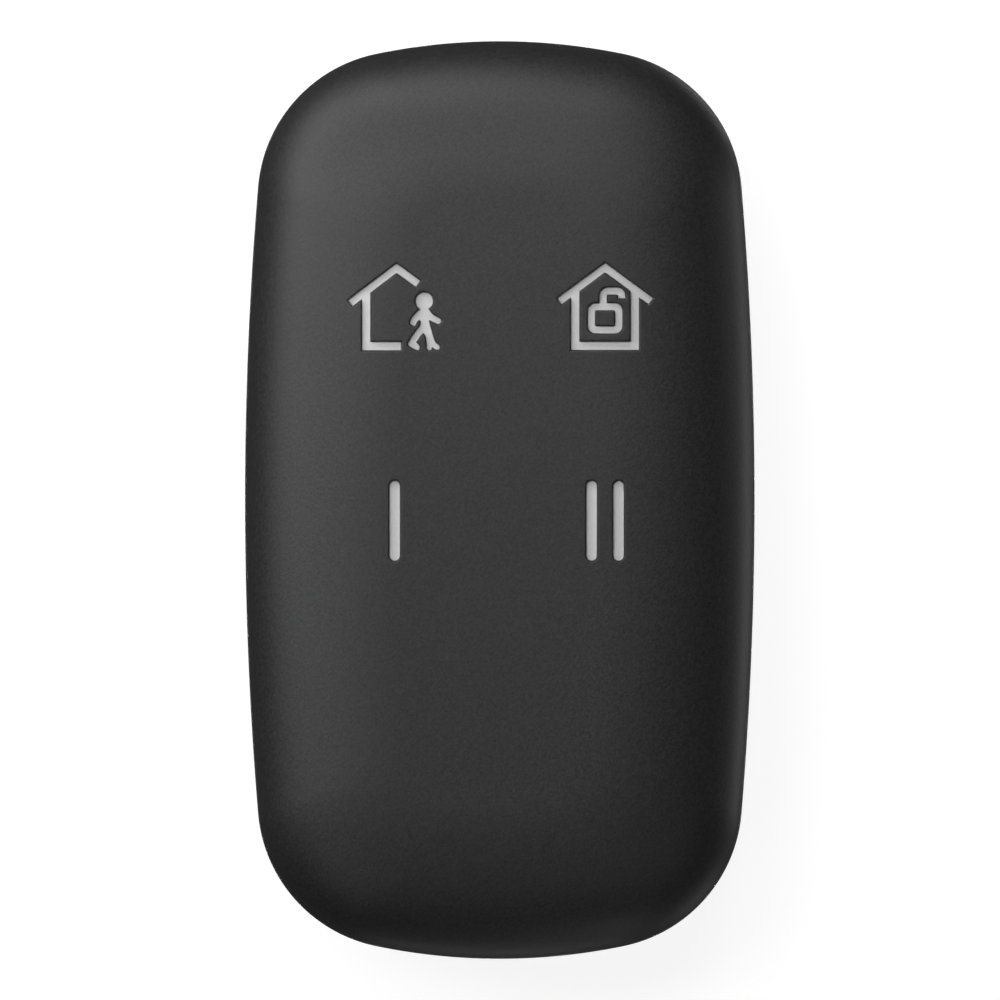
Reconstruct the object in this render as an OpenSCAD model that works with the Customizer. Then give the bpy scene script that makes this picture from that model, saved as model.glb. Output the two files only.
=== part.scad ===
// Alarm key fob: a soft-skinned pebble case with four sprung keys, a radio board and a coin cell.
// It lies on its back: +Z is the front with the keys, +Y the keyring end, z = 0 the resting face.

/* [Case] */
// Overall length
case_length = 65; // [60:0.5:75]
// Overall width
case_width = 36.1; // [34:0.1:42]
// Height of the parting line above the resting face
parting_height = 6.4; // [6.2:0.1:7]
// Radius of the bowed long sides
side_radius = 267; // [150:1:400]
// Radius of the bowed ends
end_radius = 43.3; // [38:0.1:60]
// Radius of the four corners
corner_radius = 10.5; // [9:0.1:12]
// Loss of corner radius for each millimetre of inset
corner_fade = 0.6; // [0.4:0.05:0.75]
// Inset at which the front becomes flat
front_roll = 11; // [8:0.5:12]
// Inset at which the rear becomes flat
rear_roll = 6; // [4:0.5:8]
// Fullness of both rolls, where 2 is an ellipse and more is squarer
roll_power = 2.2; // [2:0.1:2.8]

/* [Walls] */
// Thickness of the soft front skin
skin_wall = 1; // [0.7:0.1:1.4]
// Thickness of the hard front frame
frame_wall = 1.3; // [1:0.1:1.8]
// Thickness of the rear cover's floor
rear_wall = 1.6; // [1.2:0.1:2]
// Width of the rim where the halves meet
rim_width = 2.3; // [2:0.1:3]
// Shadow gap between the skin's edge and the rear cover
seam_gap = 0.25; // [0.1:0.05:0.6]
// Width of the rim's sealing ring
gasket_width = 0.6; // [0.4:0.05:0.8]
// Depth of the rim's sealing ring
gasket_depth = 0.6; // [0.4:0.05:0.8]

/* [Keys] */
// Spacing of the two key columns
key_pitch = 14.9; // [13:0.1:17]
// Spacing of the two key rows
row_pitch = 15.2; // [13:0.1:18]
// Height of the upper key row above the middle of the case
top_row_y = 13.7; // [12:0.1:15]
// Travel of a key
key_travel = 0.3; // [0.2:0.05:0.4]
// Diameter of a key's cap
key_diameter = 9.4; // [8.6:0.1:10.4]
// Reach of the retaining lip beyond the cap
lip_reach = 0.6; // [0.4:0.1:0.9]
// Thickness of the retaining lip
lip_height = 0.8; // [0.6:0.1:1.2]
// Depth of the key seat below the frame's flat top
seat_depth = 1.7; // [1.4:0.1:2.2]
// Width of the frame's wall round a key seat
seat_wall = 0.7; // [0.5:0.1:1]
// Diameter of the plunger under a key
plunger_diameter = 3; // [2:0.1:4]
// Length of the plunger under a key
plunger_length = 0.35; // [0.3:0.05:1]

/* [Signs] */
// Depth of the signs below the skin's surface
sign_recess = 0.3; // [0.1:0.05:0.5]
// Line width of walls and floor in the house signs
wall_line = 0.6; // [0.5:0.02:0.7]
// Line width of the roof in the house signs
roof_line = 0.55; // [0.45:0.01:0.65]
// Line width of the padlock
lock_line = 0.52; // [0.4:0.02:0.6]
// Width of a bar
bar_width = 0.76; // [0.6:0.02:1]
// Length of a bar
bar_length = 5.68; // [4:0.02:6]
// Spacing of the two bars
bar_pitch = 1.9; // [1.4:0.05:2.4]

/* [Battery] */
// Diameter of the coin cell
cell_diameter = 20; // [18:0.1:21]
// Thickness of the coin cell
cell_thickness = 3.2; // [2:0.1:3.6]
// Middle of the coin cell along the case
cell_y = -11; // [-13:0.5:-8]
// Width of the contact strips
contact_width = 3.5; // [2.5:0.1:4]
// Thickness of the contact strips
contact_sheet = 0.2; // [0.15:0.01:0.3]
// Space between the cell and the board
contact_space = 0.65; // [0.5:0.05:1.2]
// Wall of the ring that holds the cell
well_wall = 1.2; // [0.8:0.1:1.6]

/* [Battery door] */
// Thickness of the door
door_thickness = 2.05; // [1.9:0.05:2.6]
// Depth of the door's face below the resting face
door_recess = 0.15; // [0.1:0.05:0.4]
// Reach of the bayonet lugs
lug_reach = 0.95; // [0.7:0.05:1.3]
// Thickness of the bayonet lugs
lug_height = 0.55; // [0.4:0.05:0.8]
// Thickness of the ledge under the lugs
ledge_height = 0.75; // [0.6:0.05:0.9]
// Angle that each lug covers
lug_angle = 24; // [16:1:30]
// Turn from locked to free
door_turn = 40; // [32:1:50]
// Number of lugs
lug_count = 3; // [2:1:3]
// Wall outside the bayonet groove
ring_wall = 1.2; // [0.9:0.1:1.6]
// Length of the coin slot
slot_length = 13; // [10:0.5:16]
// Width of the coin slot
slot_width = 2; // [1.6:0.1:2.4]
// Depth of the coin slot
slot_depth = 0.9; // [0.6:0.1:1.2]
// Thickness of the door's seal
seal_section = 0.6; // [0.4:0.05:0.6]

/* [Board] */
// Thickness of the circuit board
board_thickness = 1; // [0.8:0.1:1.6]
// Distance of the board's edge from the case outline
board_inset = 2.8; // [2.6:0.1:4]
// Diameter of the two board posts
post_diameter = 3; // [2.5:0.1:4]
// Diameter of the pins on the board posts
post_pin = 1.5; // [1.2:0.1:2]
// Distance of the upper board post from the case end
post_top = 13; // [12:0.1:14]
// Distance of the lower board post from the case end
post_bottom = 5.2; // [4.6:0.1:7]
// Side of the radio chip
chip_size = 5; // [4:0.5:7]
// Height of the radio chip
chip_height = 0.9; // [0.7:0.1:1.2]
// Distance of the radio chip from the lower case end
chip_place = 14; // [12:0.5:16]
// Length of the crystal can
crystal_length = 3.2; // [2.5:0.1:5]
// Width of the crystal can
crystal_width = 2.5; // [2:0.1:3.2]
// Height of the crystal can
crystal_height = 0.8; // [0.6:0.1:1.2]
// Inset of the antenna strip from the case outline
antenna_inset = 4.1; // [3.8:0.1:5]
// Half of the span of the antenna strip
antenna_reach = 7.6; // [5:0.1:8]
// Height of the antenna strip
antenna_height = 1.6; // [1:0.1:1.8]
// Thickness of the antenna strip
antenna_sheet = 0.3; // [0.2:0.05:0.5]
// Length of a chip part
passive_length = 1.6; // [1:0.1:2]
// Width of a chip part
passive_width = 0.8; // [0.5:0.1:1.2]
// Height of a chip part
passive_height = 0.6; // [0.4:0.1:0.9]

/* [Switches] */
// Side of a switch
switch_size = 5; // [4:0.1:6]
// Height of a switch from the board to its cover plate
switch_height = 1.5; // [1.5:0.1:2]
// Thickness of a switch's cover plate
switch_plate = 0.2; // [0.15:0.01:0.25]
// Floor of a switch base
switch_floor = 0.3; // [0.2:0.05:0.4]
// Diameter of a switch stem
stem_diameter = 2.2; // [1.8:0.1:2.6]
// Reach of the stem above the cover plate
stem_rise = 0.5; // [0.45:0.05:0.8]
// Reach of the stem's flange
stem_flange = 0.5; // [0.4:0.05:0.7]
// Diameter of a snap dome
dome_diameter = 3.5; // [3:0.1:4]
// Sheet thickness of a snap dome
dome_sheet = 0.08; // [0.05:0.01:0.1]
// Reach of a solder foot
foot_reach = 0.8; // [0.5:0.1:1]
// Width of a solder foot
foot_width = 0.6; // [0.4:0.05:0.8]
// Thickness of a solder foot
foot_sheet = 0.15; // [0.1:0.01:0.2]

/* [Keyring pocket] */
// Width of the pocket
pocket_width = 10; // [8:0.5:12]
// Reach of the pocket in from the case end
pocket_reach = 9.6; // [8.6:0.1:10.4]
// Height of the pocket's ceiling above the resting face
pocket_height = 5; // [4.4:0.1:5.1]
// Corner radius of the pocket
pocket_corner = 1.4; // [0.8:0.1:2.4]
// Wall between the pocket and the inside
pocket_wall = 1.2; // [1:0.1:1.6]
// Diameter of the cross pin
pin_diameter = 1.6; // [1.2:0.1:2]
// Distance of the cross pin from the case end
pin_inset = 3.5; // [3.2:0.1:4.2]
// Height of the cross pin above the resting face
pin_height = 1.95; // [1.8:0.05:2.2]
// Length of pin held in each side wall
pin_grip = 1.6; // [1.2:0.1:2]

/* [Screws] */
// Shank diameter
screw_diameter = 1.7; // [1.4:0.1:2]
// Shank length
screw_length = 6.8; // [6:0.1:7.4]
// Head diameter
head_diameter = 3.1; // [2.6:0.1:3.4]
// Head height
head_height = 1.1; // [0.8:0.1:1.2]
// Distance of the screws from the long sides
screw_side = 6.85; // [6.4:0.05:7.4]
// Distance of the screws from the ends
screw_end = 9.9; // [9:0.1:11]
// Wall of a screw boss
boss_wall = 1.25; // [1:0.05:1.5]
// Height of the seat under a screw head
head_seat = 1.5; // [1.4:0.1:1.8]

/* [Clearances] */
// Sideways gap of a key in its aperture
key_gap = 0.15; // [0.1:0.01:0.25]
// Gap round a sign in the skin
sign_gap = 0.1; // [0.08:0.01:0.14]
// Height gap of parts that rest near each other
float_gap = 0.05; // [0.03:0.01:0.1]
// Sideways gap of the cell in its ring
cell_gap = 0.25; // [0.15:0.05:0.4]
// Sideways gap of the door and its lugs
door_gap = 0.15; // [0.1:0.01:0.25]
// Gap round a fixed pin or thread
fit_gap = 0.02; // [0.02:0.01:0.05]
// Gap round a screw in its through hole, and round its head
screw_gap = 0.2; // [0.15:0.05:0.4]
// Gap between the board and what passes it
board_gap = 0.4; // [0.3:0.05:0.6]
// Sideways gap of a stem in its plate
stem_gap = 0.15; // [0.1:0.01:0.2]

/* [Hidden] */
$fn = 48;
// Past-the-face overlap of a cutting tool
cut = 1;
key_names = ["away", "disarm", "one", "two"];
keys = [0 : len(key_names) - 1];

// Steps along a quarter of the outline and along a roll
side_steps = 4;
corner_steps = 9;
end_steps = 5;
roll_steps = 10;
// Points in half a round line end
round_steps = 8;

half_width = case_width / 2;
half_length = case_length / 2;

// Heights, added up from the resting face to the top of the skin
door_top = door_recess + door_thickness;
cell_bottom = door_top + float_gap;
cell_top = cell_bottom + cell_thickness;
board_bottom = cell_top + contact_space;
board_top = board_bottom + board_thickness;
plate_top = board_top + switch_height;
stem_top = plate_top + stem_rise;
lip_bottom = stem_top + plunger_length;
lip_top = lip_bottom + lip_height;
key_seat = lip_top + float_gap;
frame_top = key_seat + seat_depth;
case_height = frame_top + skin_wall;
front_rise = case_height - parting_height;
under_board = board_bottom - float_gap;

// Sizes of the keys and switches
key_radius = key_diameter / 2;
aperture_radius = key_radius + key_gap;
lip_radius = key_radius + lip_reach;
seat_radius = lip_radius + key_gap;
stem_radius = stem_diameter / 2;
flange_radius = stem_radius + stem_flange;
dome_radius = dome_diameter / 2;
cavity_radius = max(flange_radius, dome_radius) + stem_gap;
base_height = switch_height - switch_plate;
// The dome fills the room that the stem needs to travel
dome_height = key_travel + float_gap - fit_gap;
flange_bottom = switch_floor + key_travel + float_gap;
flange_top = base_height - float_gap;

// Sizes of the cell's ring, the door and its bayonet
cell_radius = cell_diameter / 2;
well_radius = cell_radius + cell_gap;
door_radius = well_radius + seal_section;
opening_radius = door_radius + door_gap;
lug_radius = door_radius + lug_reach;
groove_radius = lug_radius + door_gap;
ring_radius = groove_radius + ring_wall;
lug_bottom = ledge_height + float_gap;
lug_top = lug_bottom + lug_height;
groove_top = lug_top + float_gap;
ring_top = door_top + door_gap;
lug_step = 360 / lug_count;
lug_margin = 1;
seal_middle = (groove_top + door_top) / 2;
seal_radius = door_radius - seal_section / 2;

// Sizes of the screws and their bosses
screw_radius = screw_diameter / 2;
pilot_radius = screw_radius + fit_gap;
through_radius = screw_radius + screw_gap;
head_radius = head_diameter / 2;
sink_radius = head_radius + screw_gap;
boss_radius = screw_radius + boss_wall;
spigot_radius = screw_radius + boss_wall / 2;
spigot_depth = 0.5;
screw_x = half_width - screw_side;
screw_y = half_length - screw_end;
thread_top = head_seat + screw_length;
pilot_top = thread_top + board_gap;
recess_depth = head_height * 0.6;
recess_length = head_diameter * 0.62;
recess_width = head_diameter * 0.16;

// Sizes of the keyring pocket
pin_radius = pin_diameter / 2;
pin_y = half_length - pin_inset;
pin_half = pocket_width / 2 + pin_grip;
pocket_y = half_length - pocket_reach;
block_half = pin_half + pin_grip / 2;

// Rim seal between the halves
gasket_inset = skin_wall + (rim_width - skin_wall - gasket_width) / 2;
gasket_bottom = parting_height - gasket_depth;

// Every sub-part
function named(stem) = [for (name = key_names) str(stem, name)];

// Direction at an angle, a vector of length one, a vector turned left
function heading(angle) = [cos(angle), sin(angle)];
function unit(v) = v / norm(v);
function left(v) = [-v.y, v.x];

// Points on an arc
function arc(middle, radius, from, to, steps) =
    [for (i = [0 : steps]) middle + radius * heading(from + (to - from) * i / steps)];

// The meeting point of two circles that lies to the left of the line from p to q
function meet(p, r, q, s) =
    let (d = norm(q - p), along = (r * r - s * s + d * d) / (2 * d), u = (q - p) / d)
    p + along * u + sqrt(r * r - along * along) * left(u);

// A quarter of the case outline at an inset: bowed side, corner and bowed end, all tangent
function quarter(inset) =
    let (
        corner = corner_radius - corner_fade * inset,
        side_middle = [half_width - side_radius, 0],
        end_middle = [0, half_length - end_radius],
        middle = meet(side_middle, side_radius - inset - corner, end_middle, end_radius - inset - corner),
        side_turn = atan2(middle.y - side_middle.y, middle.x - side_middle.x),
        end_turn = atan2(middle.y - end_middle.y, middle.x - end_middle.x),
        side = arc(side_middle, side_radius - inset, 0, side_turn, side_steps),
        bend = arc(middle, corner, side_turn, end_turn, corner_steps),
        end = arc(end_middle, end_radius - inset, end_turn, 90, end_steps)
    )
    concat(side, [for (i = [1 : corner_steps]) bend[i]], [for (i = [1 : end_steps]) end[i]]);

// The whole case outline at an inset
function outline(inset) =
    let (q = quarter(inset), n = len(q) - 1)
    concat(
        [for (i = [0 : n - 1]) q[i]],
        [for (i = [n : -1 : 1]) [-q[i].x, q[i].y]],
        [for (i = [0 : n - 1]) -q[i]],
        [for (i = [n : -1 : 1]) [q[i].x, -q[i].y]]
    );

// Inset and height along a roll, from its foot to the flat
function roll(wall, reach, rise) =
    [for (i = [0 : roll_steps])
        let (a = 90 * i / roll_steps)
        [wall + (reach - wall) * (1 - pow(cos(a), 2 / roll_power)), rise * pow(sin(a), 2 / roll_power)]];

function front_roll_at(wall) = roll(wall, front_roll, front_rise - wall);

function ring(inset, z) = [for (p = outline(inset)) [p.x, p.y, z]];

// A closed skin over rings of points, listed from the lowest to the highest
module loft(rings) {
    n = len(rings[0]);
    top = (len(rings) - 1) * n;
    walls = [for (j = [0 : len(rings) - 2], i = [0 : n - 1])
        let (a = j * n + i, b = j * n + (i + 1) % n)
        each [[a, a + n, b + n], [a, b + n, b]]];
    floor_face = [for (i = [0 : n - 1]) i];
    roof_face = [for (i = [n - 1 : -1 : 0]) top + i];
    polyhedron(points = [for (r = rings) each r], faces = concat([floor_face], walls, [roof_face]));
}

// The front's rolled form at a depth below its surface, with its foot above the parting line
module front_form(wall, foot) {
    path = front_roll_at(wall);
    loft(concat(
        [ring(wall, parting_height + foot)],
        foot < 0 ? [ring(wall, parting_height)] : [],
        [for (i = [1 : roll_steps]) ring(path[i][0], parting_height + path[i][1])]
    ));
}

// The rear's rolled form, with its mouth above the parting line
module rear_form(wall, floor_z, mouth) {
    path = roll(wall, rear_roll, parting_height - floor_z);
    loft(concat(
        [for (i = [roll_steps : -1 : 0]) ring(path[i][0], parting_height - path[i][1])],
        mouth > 0 ? [ring(wall, parting_height + mouth)] : []
    ));
}

// What lies under the front's surface at a depth, near one long side, as a revolve about the side's bow
module under_front(wall, side) {
    path = front_roll_at(wall);
    inner = side_radius - half_width;
    sweep = 12;
    mirror([side < 0 ? 1 : 0, 0, 0])
        translate([half_width - side_radius, 0, 0])
            rotate([0, 0, -sweep / 2])
                rotate_extrude(angle = sweep, $fn = 256)
                    polygon(concat(
                        [[inner, 0], [side_radius - wall, 0]],
                        [for (p = path) [side_radius - p[0], parting_height + p[1]]],
                        [[inner, parting_height + front_rise - wall]]
                    ));
}

// Outline of a flat strip along a path, with mitred bends and square ends
function strip(path, width, extend = 0) =
    let (
        last = len(path) - 1,
        step = [for (i = [0 : last - 1]) unit(path[i + 1] - path[i])],
        lean = [for (i = [0 : last])
            i == 0 ? left(step[0]) : i == last ? left(step[last - 1]) :
            let (m = unit(left(step[i - 1]) + left(step[i]))) m / (m * left(step[i]))],
        spot = [for (i = [0 : last])
            i == 0 ? path[0] - extend * step[0] :
            i == last ? path[last] + extend * step[last - 1] : path[i]]
    )
    concat(
        [for (i = [0 : last]) spot[i] - lean[i] * width / 2],
        [for (i = [last : -1 : 0]) spot[i] + lean[i] * width / 2]
    );

// Outline of a straight line with round ends
function round_line(p, q, radius) =
    let (a = atan2(q.y - p.y, q.x - p.x))
    concat(arc(q, radius, a - 90, a + 90, round_steps), arc(p, radius, a + 90, a + 270, round_steps));

// Outline of a rectangle with round corners
function round_box(middle, size, radius) =
    let (x = size.x / 2 - radius, y = size.y / 2 - radius)
    concat(
        arc(middle + [x, y], radius, 0, 90, round_steps),
        arc(middle + [-x, y], radius, 90, 180, round_steps),
        arc(middle + [-x, -y], radius, 180, 270, round_steps),
        arc(middle + [x, -y], radius, 270, 360, round_steps)
    );

// Middle lines of the signs, about the middle of their key
away_roof = [[-3.16, 0.25], [0.12, 2.72], [1.64, 1.61]];
away_walls = [[-2.03, 1.05], [-2.03, -2.81], [0.46, -2.81]];
home_roof = [[-3.24, 0.34], [0, 2.72], [3.24, 0.34]];
home_walls = [[-2.11, 1.1], [-2.11, -2.81], [2.11, -2.81], [2.11, 1.1]];
head_spot = [2.08, 0.38];
head_size = 0.64;
// Each limb of the walking figure: start, end, width
limbs = [
    [[2.08, -0.42], [2.1, -1.4], 0.66],
    [[1.95, -0.46], [1.46, -0.82], 0.42],
    [[1.46, -0.82], [1.3, -1.16], 0.42],
    [[2.22, -0.46], [2.62, -0.84], 0.42],
    [[2.62, -0.84], [3.06, -1.04], 0.42],
    [[1.98, -1.45], [1.3, -2.42], 0.5],
    [[1.2, -2.72], [1.56, -2.88], 0.44],
    [[1.3, -2.42], [1.2, -2.72], 0.48],
    [[2.22, -1.45], [2.46, -2.7], 0.5],
    [[2.44, -2.86], [2.94, -2.86], 0.44]
];
lock_middle = [0, -0.86];
lock_size = [2.46, 2.16];
lock_corner = 0.55;
hole_corner = 0.12;
shackle_left = -0.14;
shackle_right = 1.18;
shackle_top = 1.07;
shackle_end = 0.54;
shackle_bend = 0.34;

// Hole of the padlock's body
function lock_hole(grow) =
    round_box(lock_middle, lock_size - [2, 2] * (lock_line + grow), hole_corner);

module away_sign(grow) {
    polygon(strip(away_roof, roof_line + 2 * grow, grow));
    polygon(strip(away_walls, wall_line + 2 * grow, grow));
    polygon(arc(head_spot, head_size + grow, 0, 360 - 180 / round_steps, 2 * round_steps - 1));
    for (limb = limbs)
        polygon(round_line(limb[0], limb[1], limb[2] / 2 + grow));
}

module padlock_sign(grow) {
    shackle = concat(
        [[shackle_left, lock_middle.y]],
        arc([shackle_left + shackle_bend, shackle_top - shackle_bend], shackle_bend, 180, 90, round_steps / 2),
        arc([shackle_right - shackle_bend, shackle_top - shackle_bend], shackle_bend, 90, 0, round_steps / 2),
        [[shackle_right, shackle_end]]
    );
    difference() {
        union() {
            polygon(round_box(lock_middle, lock_size + [2, 2] * grow, lock_corner + grow));
            polygon(strip(shackle, lock_line + 2 * grow, grow));
        }
        polygon(lock_hole(grow));
    }
}

module home_sign(grow) {
    polygon(strip(home_roof, roof_line + 2 * grow, grow));
    polygon(strip(home_walls, wall_line + 2 * grow, grow));
}

module bar_sign(count, grow) {
    reach = (bar_length - bar_width) / 2;
    for (i = [0 : count - 1])
        let (x = (i - (count - 1) / 2) * bar_pitch)
            polygon(round_line([x, -reach], [x, reach], bar_width / 2 + grow));
}

// The sign of one key, grown all round
module sign(key, grow) {
    if (key == 0)
        away_sign(grow);
    if (key == 1)
        home_sign(grow);
    if (key == 1)
        padlock_sign(grow);
    if (key >= 2)
        bar_sign(key - 1, grow);
}

// The middle of a key, and which long side it is on
function key_side(key) = key % 2 == 0 ? -1 : 1;
function key_at(key) = [key_side(key) * key_pitch / 2, top_row_y - floor(key / 2) * row_pitch, 0];

// A child at each key, at each screw
module at_key(key)
    translate(key_at(key))
        children();

module at_keys()
    for (key = keys)
        at_key(key)
            children();

module at_screws()
    for (x = [-screw_x, screw_x], y = [-screw_y, screw_y])
        translate([x, y, 0])
            children();

// A round bar between two heights
module bar(radius, bottom, top)
    translate([0, 0, bottom])
        cylinder(r = radius, h = top - bottom);

// A tube between two heights
module tube(outer, inner, bottom, top)
    difference() {
        bar(outer, bottom, top);
        bar(inner, bottom - cut, top + cut);
    }

// A box about a point on its floor
module block(size, bottom)
    translate([-size.x / 2, -size.y / 2, bottom])
        cube(size);

// The whole window of a sign: its ring of skin and what it encloses
module home_window(grow) {
    home_room();
    home_sign(grow);
}

// What the house sign encloses, out to the middle of its lines
module home_room()
    polygon(concat(home_walls, [home_roof[1]]));

module front_skin()
    color("#2f2f30")
        difference() {
            front_form(0, seam_gap);
            front_form(skin_wall, -cut);
            for (key = keys)
                at_key(key)
                    translate([0, 0, parting_height])
                        linear_extrude(front_rise + cut)
                            if (key == 1)
                                home_window(sign_gap);
                            else
                                sign(key, sign_gap);
        }

module front_frame()
    color("#3a3a3c") {
        difference() {
            front_form(skin_wall, 0);
            difference() {
                front_form(skin_wall + frame_wall, -cut);
                at_keys()
                    bar(seat_radius + seat_wall, key_seat, case_height);
                at_screws()
                    bar(boss_radius, 0, case_height);
                for (y = [half_length - post_top, post_bottom - half_length])
                    translate([0, y, 0])
                        bar(post_diameter / 2, board_top, case_height);
            }
            at_keys() {
                bar(aperture_radius, parting_height, case_height);
                bar(seat_radius, parting_height, key_seat);
            }
            at_screws()
                bar(pilot_radius, 0, pilot_top);
        }
        at_screws()
            tube(spigot_radius, pilot_radius, parting_height - spigot_depth, parting_height + spigot_depth);
        for (y = [half_length - post_top, post_bottom - half_length])
            translate([0, y, 0])
                bar(post_pin / 2, board_bottom - float_gap, board_top + spigot_depth);
    }

module rear_cover()
    color("#333335")
        difference() {
            rear_form(0, 0, 0);
            difference() {
                rear_form(rim_width, rear_wall, cut);
                translate([0, cell_y, 0]) {
                    tube(well_radius + well_wall, well_radius, 0, under_board);
                    tube(ring_radius, well_radius, 0, ring_top);
                }
                at_screws()
                    bar(boss_radius, 0, parting_height);
                translate([-block_half, pocket_y - pocket_wall, 0])
                    cube([2 * block_half, half_length, under_board]);
            }
            translate([0, cell_y, 0]) {
                bar(opening_radius, -cut, ring_top);
                for (i = [0 : lug_count - 1])
                    rotate([0, 0, i * lug_step])
                        bayonet_track();
                contact_way();
            }
            at_screws() {
                bar(through_radius, -cut, case_height);
                bar(sink_radius, -cut, head_seat);
                bar(spigot_radius + fit_gap, parting_height - spigot_depth - float_gap, case_height);
            }
            pocket();
            translate([-pin_half - float_gap, pin_y, pin_height])
                rotate([0, 90, 0])
                    bar(pin_radius + fit_gap, 0, 2 * (pin_half + float_gap));
            translate([0, 0, gasket_bottom - float_gap])
                linear_extrude(gasket_depth + cut)
                    gasket_plan(float_gap);
        }

// One bayonet track in the opening's wall: the groove that the lug turns along, and the entry at its far end
module bayonet_track() {
    reach = lug_angle + 2 * lug_margin;
    start = -reach / 2 - door_turn;
    rotate([0, 0, start])
        rotate_extrude(angle = reach + door_turn)
            translate([opening_radius - door_gap, ledge_height])
                square([groove_radius - opening_radius + door_gap, groove_top - ledge_height]);
    rotate([0, 0, start + lug_margin / 2])
        rotate_extrude(angle = reach - lug_margin)
            translate([opening_radius - door_gap, -cut])
                square([lug_radius - opening_radius + 1.5 * door_gap, lug_bottom + cut]);
}

// The gap in the cell's ring that the side contact reaches through
module contact_way()
    translate([0, well_radius, 0])
        block([contact_width + 2 * board_gap, 2 * (well_wall + cell_gap), case_height], ring_top + door_gap);

// The pocket for a key ring: open to the rear and the end
module pocket()
    translate([0, 0, -cut])
        linear_extrude(pocket_height + cut)
            polygon(round_box([0, pocket_y + half_length / 2], [pocket_width, half_length], pocket_corner));

// Plan of the rim's sealing ring
module gasket_plan(grow)
    difference() {
        polygon(outline(gasket_inset - grow));
        polygon(outline(gasket_inset + gasket_width + grow));
    }

module case_gasket()
    color("#5b5d60")
        translate([0, 0, gasket_bottom])
            linear_extrude(gasket_depth)
                gasket_plan(0);

module case_screws()
    color("#b9bcc0")
        at_screws()
            difference() {
                rotate_extrude()
                    polygon([
                        [0, head_seat - head_height],
                        [head_radius * 0.6, head_seat - head_height],
                        [head_radius, head_seat - head_height * 0.55],
                        [head_radius, head_seat],
                        [screw_radius, head_seat],
                        [screw_radius, thread_top - screw_radius],
                        [screw_radius / 2, thread_top],
                        [0, thread_top]
                    ]);
                for (turn = [0, 90])
                    rotate([0, 0, turn])
                        block([recess_length, recess_width, recess_depth + cut], head_seat - head_height - cut);
            }

module keyring_pin()
    color("#c3c6ca")
        translate([-pin_half, pin_y, pin_height])
            rotate([0, 90, 0])
                bar(pin_radius, 0, 2 * pin_half);

// One key: plunger, lip and cap in the frame, and its sign that stands up into the skin
module key_part(key)
    color("#c2c3c4") {
        at_key(key) {
            bar(plunger_diameter / 2, stem_top, lip_top);
            bar(lip_radius, lip_bottom, lip_top);
        }
        intersection() {
            at_key(key)
                bar(key_radius, lip_bottom, case_height);
            under_front(skin_wall + float_gap, key_side(key));
        }
        intersection() {
            at_key(key)
                translate([0, 0, key_seat])
                    linear_extrude(front_rise)
                        sign(key, 0);
            under_front(sign_recess, key_side(key));
        }
    }

// The islands of skin that the disarm sign encloses
module sign_inlay()
    color("#2f2f30")
        difference() {
            intersection() {
                at_key(1)
                    translate([0, 0, key_seat])
                        linear_extrude(front_rise)
                            difference() {
                                home_room();
                                home_sign(0);
                                padlock_sign(0);
                            }
                under_front(0, key_side(1));
            }
            under_front(skin_wall + float_gap, key_side(1));
        }

module circuit_board()
    color("#2f6b45")
        difference() {
            translate([0, 0, board_bottom])
                linear_extrude(board_thickness)
                    polygon(outline(board_inset));
            for (x = [-1, 1], y = [-1, 1])
                translate([x * screw_x, y * screw_y, 0])
                    rotate([0, 0, atan2(y, x)])
                        board_notch();
            for (y = [half_length - post_top, post_bottom - half_length])
                translate([0, y, 0])
                    bar(post_pin / 2 + fit_gap, 0, case_height);
        }

// A notch from a screw boss out to the board's corner
module board_notch() {
    bar(boss_radius + board_gap, 0, case_height);
    translate([0, -boss_radius - board_gap, 0])
        cube([half_width, 2 * (boss_radius + board_gap), case_height]);
}

// A child on the board, under a key
module at_board(key)
    translate([0, 0, board_top])
        at_key(key)
            children();

module switch_base(key)
    color("#26272a")
        at_board(key)
            difference() {
                block([switch_size, switch_size, base_height], 0);
                bar(cavity_radius, switch_floor, switch_height);
            }

module switch_cover(key)
    color("#c9ccd0")
        at_board(key) {
            difference() {
                block([switch_size + 2 * switch_plate, switch_size, switch_plate], base_height);
                bar(stem_radius + stem_gap, 0, stem_top);
            }
            for (side = [-1, 1])
                translate([side * (switch_size + switch_plate) / 2, 0, 0])
                    block([switch_plate, switch_size * 0.4, base_height - switch_floor], switch_floor);
        }

module switch_stem(key)
    color("#e6e2d6")
        at_board(key) {
            bar(flange_radius, flange_bottom, flange_top);
            bar(stem_radius, flange_bottom, switch_height + stem_rise);
        }

// A shallow cap of sheet, standing on its rim
module switch_dome(key)
    color("#d8d4c4") {
        rise = dome_height - dome_sheet - fit_gap;
        curve = (dome_radius * dome_radius + rise * rise) / (2 * rise);
        spread = asin(dome_radius / curve);
        middle = [0, switch_floor + dome_height - curve];
        at_board(key)
            rotate_extrude()
                polygon(concat(
                    arc(middle, curve, 90 - spread, 90, round_steps),
                    arc(middle, curve - dome_sheet, 90, 90 - spread, round_steps)
                ));
    }

module switch_terminals()
    color("#cfd2d4")
        for (key = keys, x = [-1, 1], y = [-1, 1])
            at_key(key)
                translate([x * (switch_size + foot_reach) / 2, y * switch_size * 0.36, 0])
                    block([foot_reach, foot_width, foot_sheet], board_top);

// The chip, the crystal and the small parts share the open lower end of the board
chip_y = chip_place - half_length;
part_gap = 2;
crystal_x = chip_size / 2 + part_gap + crystal_length / 2;
passive_rows = 5;

module radio_chip()
    color("#1d1e20")
        translate([0, chip_y, 0])
            difference() {
                block([chip_size, chip_size, chip_height], board_top);
                translate([-chip_size * 0.36, chip_size * 0.36, 0])
                    bar(chip_size * 0.06, board_top + chip_height * 0.85, case_height);
            }

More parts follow.
